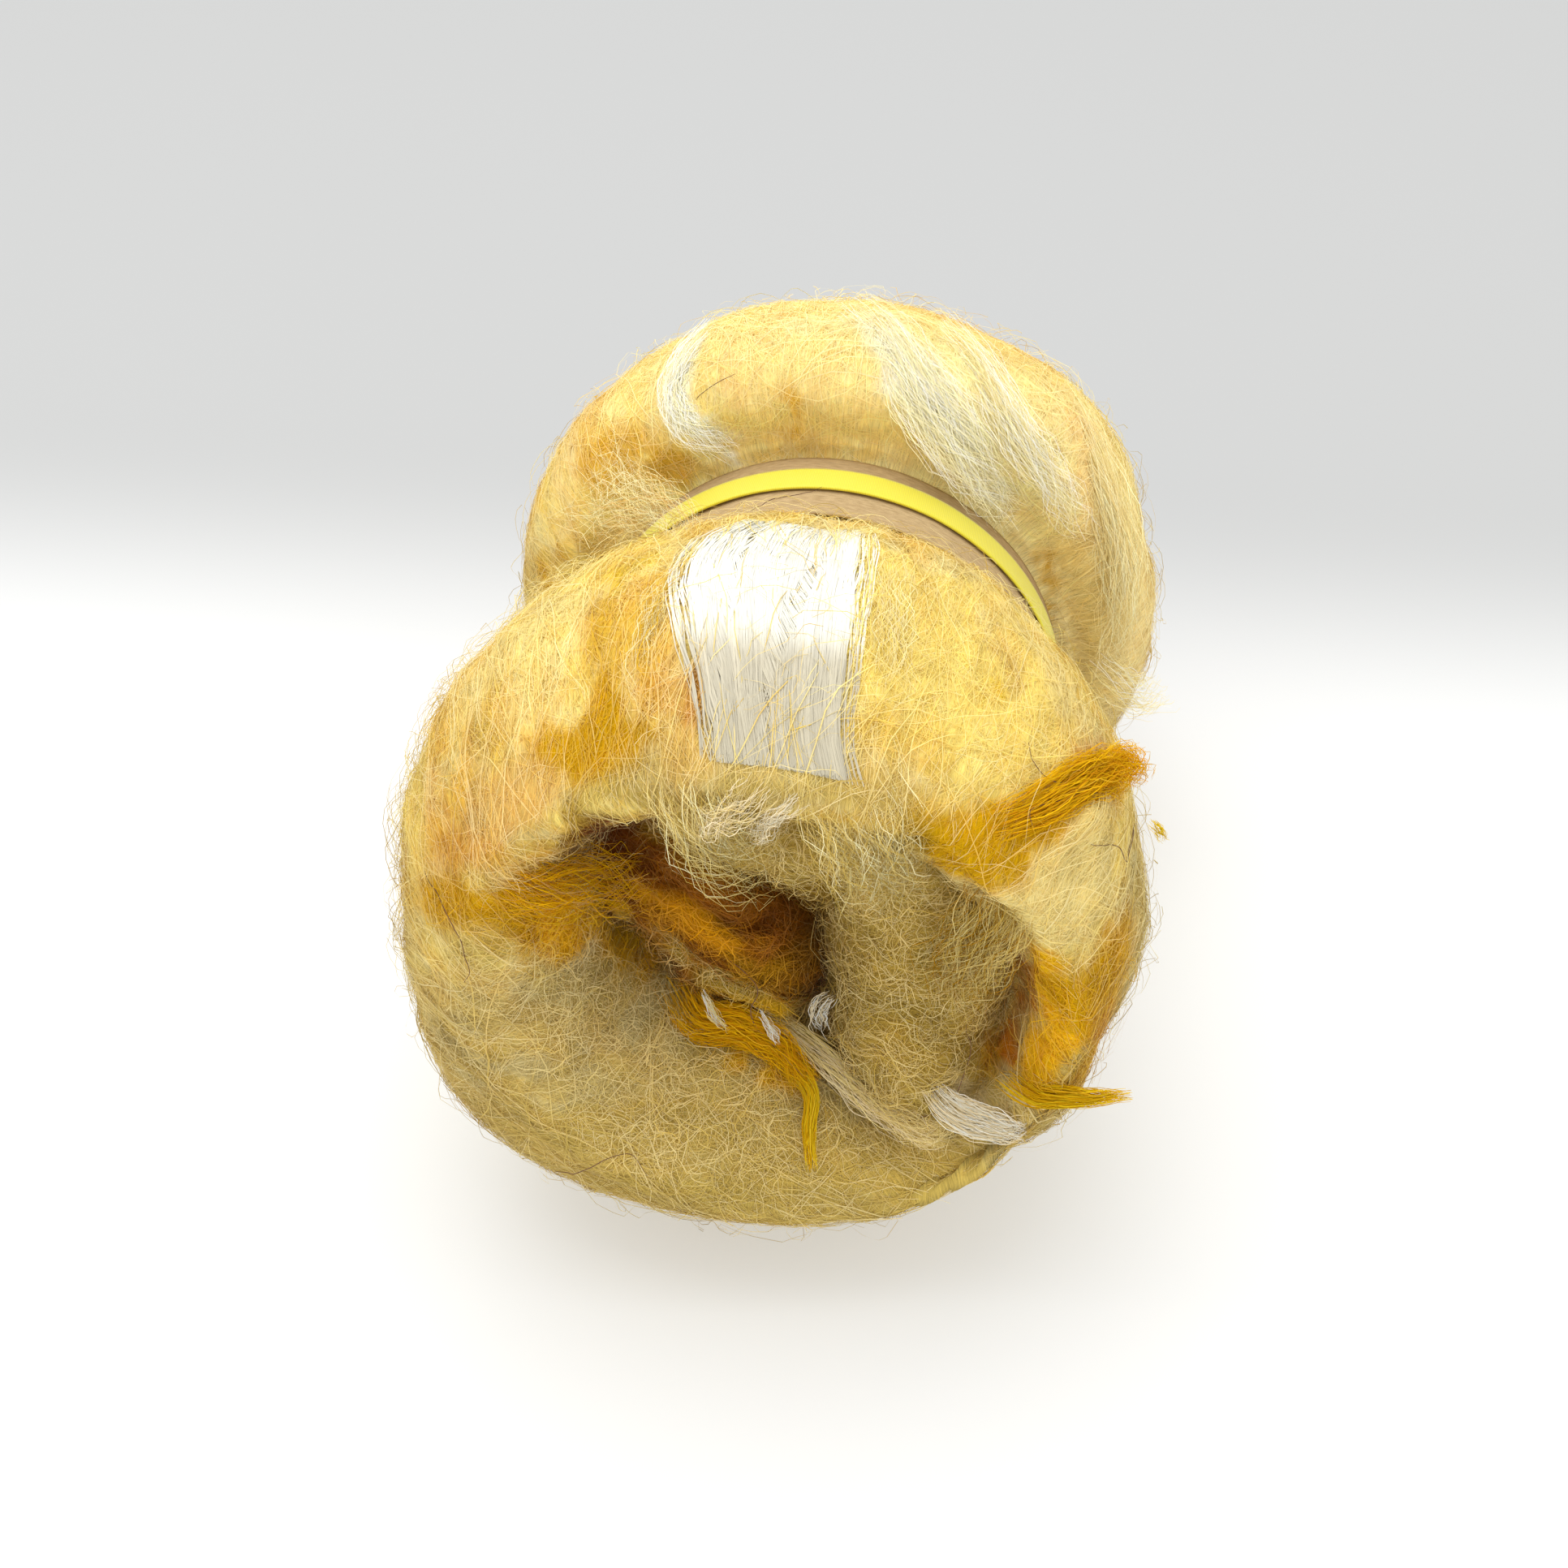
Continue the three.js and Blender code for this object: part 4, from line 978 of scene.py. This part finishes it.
def make_wisps(wool, silk, hair):
    rng = np.random.default_rng(SEED + 2)
    steps = 12
    for name, table, material in (("wool_wisps", WISPS, wool), ("silk_wisps", SILK_WISPS, silk)):
        parts = [[], [], [], []]
        for path, count, width, names, stray in table:
            points, normals, shades = wisp(rng, path, count, steps, names, stray)
            shades = uneven(rng, shades, white=0.05)
            for part, value in zip(parts, (points, normals, shades, np.full(count, width))):
                part.append(value)
        points, normals, shades, width = (np.concatenate(part) for part in parts)
        fibre_piece(name, rng, points, normals, shades, width * rng.uniform(0.7, 1.2, len(width)), 60, material)
    t = np.linspace(0, 1, 41)
    points = np.stack([along_path(path, t) for path in HAIRS])
    points = points + 0.25 * np.stack([noise(points, 2.5, 51 + k) for k in range(3)], -1)
    normals = np.broadcast_to(unit(FACING), points.shape).copy()
    shades = np.repeat(linear((96, 58, 30))[None], len(points), 0)
    fibre_piece("dark_hairs", rng, points, normals, shades, np.full(len(points), 0.13), 10, hair)


# Length from the crest, and the angles of the silk's two edges and of the parting in it
SILK_LEFT = ([0, 2, 9, 12, 21, 35, 44, 55, 63], [93, 94, 96, 97, 99.3, 101.8, 102, 101, 98])
SILK_RIGHT = ([0, 4, 9, 14, 25, 48, 62], [73, 73.5, 76, 77.2, 78.4, 79.2, 79.5])
PARTING = ([0, 8, 16, 27, 33, 48], [84, 87, 89, 87.5, 86, 84])
PARTING_WIDTH = ([0, 8, 20, 27, 36, 44, 50], [0.3, 0.4, 0.6, 0.9, 1.1, 0.7, 0])


def make_silk(silk):
    """The silk laid over the top of the near lobe, from its cut end at the crest up and over to the waist."""
    rng = np.random.default_rng(SEED + 1)
    count, steps = 3000, 14
    share = rng.random(count)
    share = np.where(rng.random(count) < 0.06, share * 1.3 - 0.15, share)
    first = 3.8 + rng.exponential(1.4, count) + 30 * (rng.random(count) < 0.25) * rng.random(count)
    last = 66 - 10 * rng.random(count) ** 2 - 25 * (rng.random(count) < 0.3) * rng.random(count)
    t = np.linspace(0, 1, steps + 1)
    v = first[:, None] + np.maximum(last - first, 14)[:, None] * t
    left, right = np.interp(v, *SILK_LEFT), np.interp(v, *SILK_RIGHT)
    phase = rng.random((2, count, 1)) * 2 * np.pi
    angle = left + (right - left) * share[:, None]
    angle += 0.8 * rng.random((count, 1)) * np.sin(phase[0] + v / 9) + 0.15 * np.sin(phase[1] + v / 3)
    away = angle - np.interp(v, *PARTING)
    angle += np.sign(away) * np.interp(v, *PARTING_WIDTH) * np.exp(-np.abs(away) / 2.2)
    away = angle - (97 - 0.04 * v)
    angle += np.sign(away) * 0.4 * np.exp(-np.abs(away) / 1.2)
    column = angle * COLUMNS / 360
    middle = np.clip(column.mean(1).astype(int), 0, COLUMNS - 1)
    row = np.stack([np.interp(v[i], MERIDIAN[:, middle[i]], np.arange(ROWS)) for i in range(count)])
    points = sample(FINE, row.ravel(), column.ravel()).reshape(count, steps + 1, 3)
    normals = unit(sample(FINE_NORMAL, row.ravel(), column.ravel())).reshape(count, steps + 1, 3)
    lift = 0.25 + 0.75 * rng.random(count)[:, None] * np.sin(np.pi * np.clip(t * 0.9 + 0.1, 0, 1)) ** 0.6
    reach = np.hypot(points[..., 0], points[..., 2] - WAIST_Z)
    points = points + normals * (lift * ease((reach - LIFT_RADIUS) / LIFT_FADE))[..., None]
    # Towards the crest the silk is drawn greyer, a painted shade on its lower part.
    bright = ease((v - 19) / 9)[..., None]
    shades = PALETTE["shaded_silk"] * (1 - bright) + PALETTE["silk"] * bright
    # Across its width the silk is drawn a little lighter and darker: painted shade of its soft folds.
    lock_shade = 0.05 * np.sin(share * 27 + 1) + 0.05 * np.sin(share * 61)
    shades = shades * (rng.uniform(0.9, 1.02, count) + lock_shade * (share > 0) * (share < 1))[:, None, None]
    fibre_piece("silk_top", rng, points, normals, shades, rng.uniform(0.14, 0.26, count), 30, silk, tip=0.4)


# Band and ribbon.

SHEET_GAP = 0.3
BAND = {"front": 12.2, "back": 30.9, "radius": 38.9, "cad_thickness": 1.0, "outer": 1.0, "thickness": 0.35,
        "lap_at": 270, "lap": 16}
RIBBON = {"front": 19.3, "back": 25.65, "cad_thickness": 1.0, "outer": 0.5, "thickness": 0.4,
          "lap_at": 312, "lap": 14}
LAP_RAMP, LAP_DROP = 26.0, 12.0


def lap_climb(strip, turned):
    return (strip["cad_thickness"] + SHEET_GAP) * ease((turned - 360 + LAP_RAMP) / LAP_RAMP)


def band_under(angle):
    turned = (angle - BAND["lap_at"] + BAND["lap"] / 2) % 360
    falling = 1 - ease((turned - BAND["lap"]) / LAP_DROP)
    return np.maximum(lap_climb(BAND, turned), (BAND["cad_thickness"] + SHEET_GAP) * falling)


def strip_piece(name, strip, inner_radius, material, wrinkle, across=12, steps=180):
    """A thin closed strip once round the waist, within its CAD solid."""
    turned = np.linspace(0, 360 + strip["lap"], steps + 1)
    angle = strip["lap_at"] - strip["lap"] / 2 + turned
    outer = inner_radius(angle, turned) + strip["outer"]
    share = np.linspace(0, 1, across + 1)
    y = strip["front"] + (strip["back"] - strip["front"]) * share
    c, s = np.cos(np.radians(angle))[:, None], np.sin(np.radians(angle))[:, None]
    plane = np.broadcast_to(y, (steps + 1, across + 1))
    shape = np.stack([outer[:, None] * c + 0 * plane, plane, outer[:, None] * s + 0 * plane], -1)
    ripple = wrinkle * noise(shape, (9, 5, 9), 41) - wrinkle
    top = outer[:, None] + ripple
    under = top - strip["thickness"]
    ring = []
    for radius, columns in ((top, range(across + 1)), (under, range(across, -1, -1))):
        for k in columns:
            x, z = radius[:, k] * c[:, 0], WAIST_Z + radius[:, k] * s[:, 0]
            ring.append(np.stack([x, np.full(steps + 1, y[k]), z], -1))
    rings = np.stack(ring, 1) + SHIFT
    count = rings.shape[1]
    r, k = np.meshgrid(np.arange(steps), np.arange(count), indexing="ij")
    n = (k + 1) % count
    quads = np.stack([r * count + k, r * count + n, (r + 1) * count + n, (r + 1) * count + k], -1).reshape(-1, 4)
    caps = [[e * count + a, e * count + a + 1, e * count + count - 2 - a, e * count + count - 1 - a]
            for e in (0, steps) for a in range(across)]
    piece = new_piece(name, rings, np.concatenate([quads, np.array(caps)]), material)
    work = bmesh.new()
    work.from_mesh(piece.data)
    bmesh.ops.recalc_face_normals(work, faces=work.faces)
    work.to_mesh(piece.data)
    work.free()
    uv = piece.data.uv_layers.new(name="strip")
    vertex = np.empty(len(piece.data.loops), np.int32)
    piece.data.loops.foreach_get("vertex_index", vertex)
    length = np.radians(turned) * (BAND["radius"] + 1)
    ring_number, spot = vertex // count, vertex % count
    spot = np.where(spot <= across, spot, 2 * across + 1 - spot)
    uv.data.foreach_set("uv", np.stack([length[ring_number], y[spot]], -1).astype(np.float32).ravel())
    return piece


def kraft_material():
    material, nodes, links, shader = node_material("kraft_paper", 0.8, Specular_IOR_Level=0.25)
    place = add(nodes, "TexCoord")
    mapping = add(nodes, "Mapping", Scale=(0.35, 1.6, 1))
    streak = add(nodes, "TexNoise", Scale=1.6, Detail=6)
    fleck = add(nodes, "TexNoise", Scale=7, Detail=3)
    ramp = add_ramp(nodes, linear((166, 139, 97)), linear((199, 172, 128)), 0.3, 0.72)
    spots = add_ramp(nodes, linear((150, 122, 84)), (1, 1, 1), 0.3, 0.42)
    mix = add(nodes, "Mix", data_type="RGBA", blend_type="MULTIPLY", Factor=0.5)
    bump = add(nodes, "Bump", Strength=0.35, Distance=0.0002)
    join(links,
         (place.outputs["UV"], mapping.inputs["Vector"]),
         (mapping.outputs["Vector"], streak.inputs["Vector"]),
         (place.outputs["UV"], fleck.inputs["Vector"]),
         (streak.outputs["Fac"], ramp.inputs["Fac"]),
         (fleck.outputs["Fac"], spots.inputs["Fac"]),
         (ramp.outputs["Color"], mix.inputs[6]),
         (spots.outputs["Color"], mix.inputs[7]),
         (mix.outputs[2], shader.inputs["Base Color"]),
         (streak.outputs["Fac"], bump.inputs["Height"]),
         (bump.outputs["Normal"], shader.inputs["Normal"]))
    return material


def satin_material():
    material, nodes, links, shader = node_material(
        "satin_ribbon", 0.32, Specular_IOR_Level=0.6, Anisotropic=0.5, Sheen_Weight=0.3)
    place = add(nodes, "TexCoord")
    across = add(nodes, "TexWave", wave_type="BANDS", bands_direction="X", Scale=1.3, Distortion=0.6)
    along = add(nodes, "TexWave", bands_direction="Y", Scale=1.9, Distortion=0.2)
    ramp = add_ramp(nodes, linear((222, 208, 22)), linear((246, 236, 46)))
    total = add(nodes, "Math", operation="ADD")
    bump = add(nodes, "Bump", Strength=0.3, Distance=0.0001)
    join(links,
         (place.outputs["UV"], across.inputs["Vector"]),
         (place.outputs["UV"], along.inputs["Vector"]),
         (across.outputs["Fac"], total.inputs[0]),
         (along.outputs["Fac"], total.inputs[1]),
         (across.outputs["Fac"], ramp.inputs["Fac"]),
         (ramp.outputs["Color"], shader.inputs["Base Color"]),
         (total.outputs["Value"], bump.inputs["Height"]),
         (bump.outputs["Normal"], shader.inputs["Normal"]))
    return material


# Studio, in metres.

FLOOR_SIDE = 12.0
# The floor darkens between these places along Y, a painted shade for the back of the studio.
FADE_FROM, FADE_TO = 0.03, 0.19


def make_camera():
    data = bpy.data.cameras.new("camera")
    data.lens = LENS
    data.sensor_width = SENSOR
    data.clip_start = 0.01
    data.clip_end = 20
    camera = bpy.data.objects.new("camera", data)
    turn = Matrix((RIGHTWARD, UPWARD, BACKWARD)).transposed().to_4x4()
    camera.matrix_world = Matrix.Translation(Vector(EYE * MM)) @ turn
    bpy.context.scene.collection.objects.link(camera)
    bpy.context.scene.camera = camera


def make_floor():
    """A pale floor that darkens gently behind the roll, a painted shade, and glows a little, a painted light, so that
    its shadows stay light.
    """
    mesh = bpy.data.meshes.new("floor")
    side = FLOOR_SIDE / 2
    corners = [(-side, -side, 0), (side, -side, 0), (side, side, 0), (-side, side, 0)]
    mesh.from_pydata(corners, [], [(0, 1, 2, 3)])
    floor = bpy.data.objects.new("floor", mesh)
    bpy.context.scene.collection.objects.link(floor)
    material, nodes, links, shader = node_material(
        "floor", 0.7, Specular_IOR_Level=0.2, Emission_Color=(1, 0.995, 0.98, 1), Emission_Strength=0.38)
    place, parted = add(nodes, "TexCoord"), add(nodes, "SeparateXYZ")
    fade = add(nodes, "MapRange", interpolation_type="SMOOTHERSTEP", From_Min=FADE_FROM, From_Max=FADE_TO)
    ramp = add_ramp(nodes, (0.53, 0.535, 0.53), (0.205, 0.21, 0.21))
    join(links,
         (place.outputs["Object"], parted.inputs["Vector"]),
         (parted.outputs["Y"], fade.inputs["Value"]),
         (fade.outputs["Result"], ramp.inputs["Fac"]),
         (ramp.outputs["Color"], shader.inputs["Base Color"]))
    mesh.materials.append(material)


def make_area(name, place, aim, size, power):
    light = bpy.data.lights.new(name, "AREA")
    light.size = size
    light.energy = power
    lamp = bpy.data.objects.new(name, light)
    lamp.location = place
    lamp.rotation_euler = (Vector(place) - Vector(aim)).to_track_quat("Z", "Y").to_euler()
    bpy.context.scene.collection.objects.link(lamp)


def make_studio():
    scene = bpy.context.scene
    scene.view_settings.view_transform = "Standard"
    make_camera()
    make_floor()
    world = bpy.data.worlds.new("studio")
    world.use_nodes = True
    world.node_tree.nodes["Background"].inputs["Color"].default_value = (1, 1, 1, 1)
    world.node_tree.nodes["Background"].inputs["Strength"].default_value = 0.93
    scene.world = world
    make_area("key", (-0.15, 0.08, 1.0), (0, 0, 0.05), 1.1, 7.5)
    make_area("front_fill", (0.05, -0.95, 0.3), (0, -0.05, 0.03), 0.8, 1.5)


wool_material = fibre_material("wool_fibre", 0.85, 0.05, 0.12, 160, 0.2)[0]
silk_material = fibre_material("silk_fibre", 0.4, 0.1, 0.06, 120, 0.1)[0]
hair_material = fibre_material("dark_hair", 0.6, 0.0, 0.05, 100)[0]
wool_material.node_tree.nodes["Principled BSDF"].inputs["Specular IOR Level"].default_value = 0.12
make_core(core_material())
make_fibres(wool_material)
make_silk(silk_material)
make_wisps(wool_material, silk_material, hair_material)

band = strip_piece("paper_band_sheet", BAND, lambda angle, turned: BAND["radius"] + lap_climb(BAND, turned),
                   kraft_material(), 0.12, across=24)
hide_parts("paper_band")
ribbon_inner = BAND["radius"] + BAND["cad_thickness"] + SHEET_GAP
ribbon = strip_piece("ribbon_satin", RIBBON,
                     lambda angle, turned: ribbon_inner + band_under(angle) + lap_climb(RIBBON, turned),
                     satin_material(), 0.05)
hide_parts("ribbon")

make_studio()
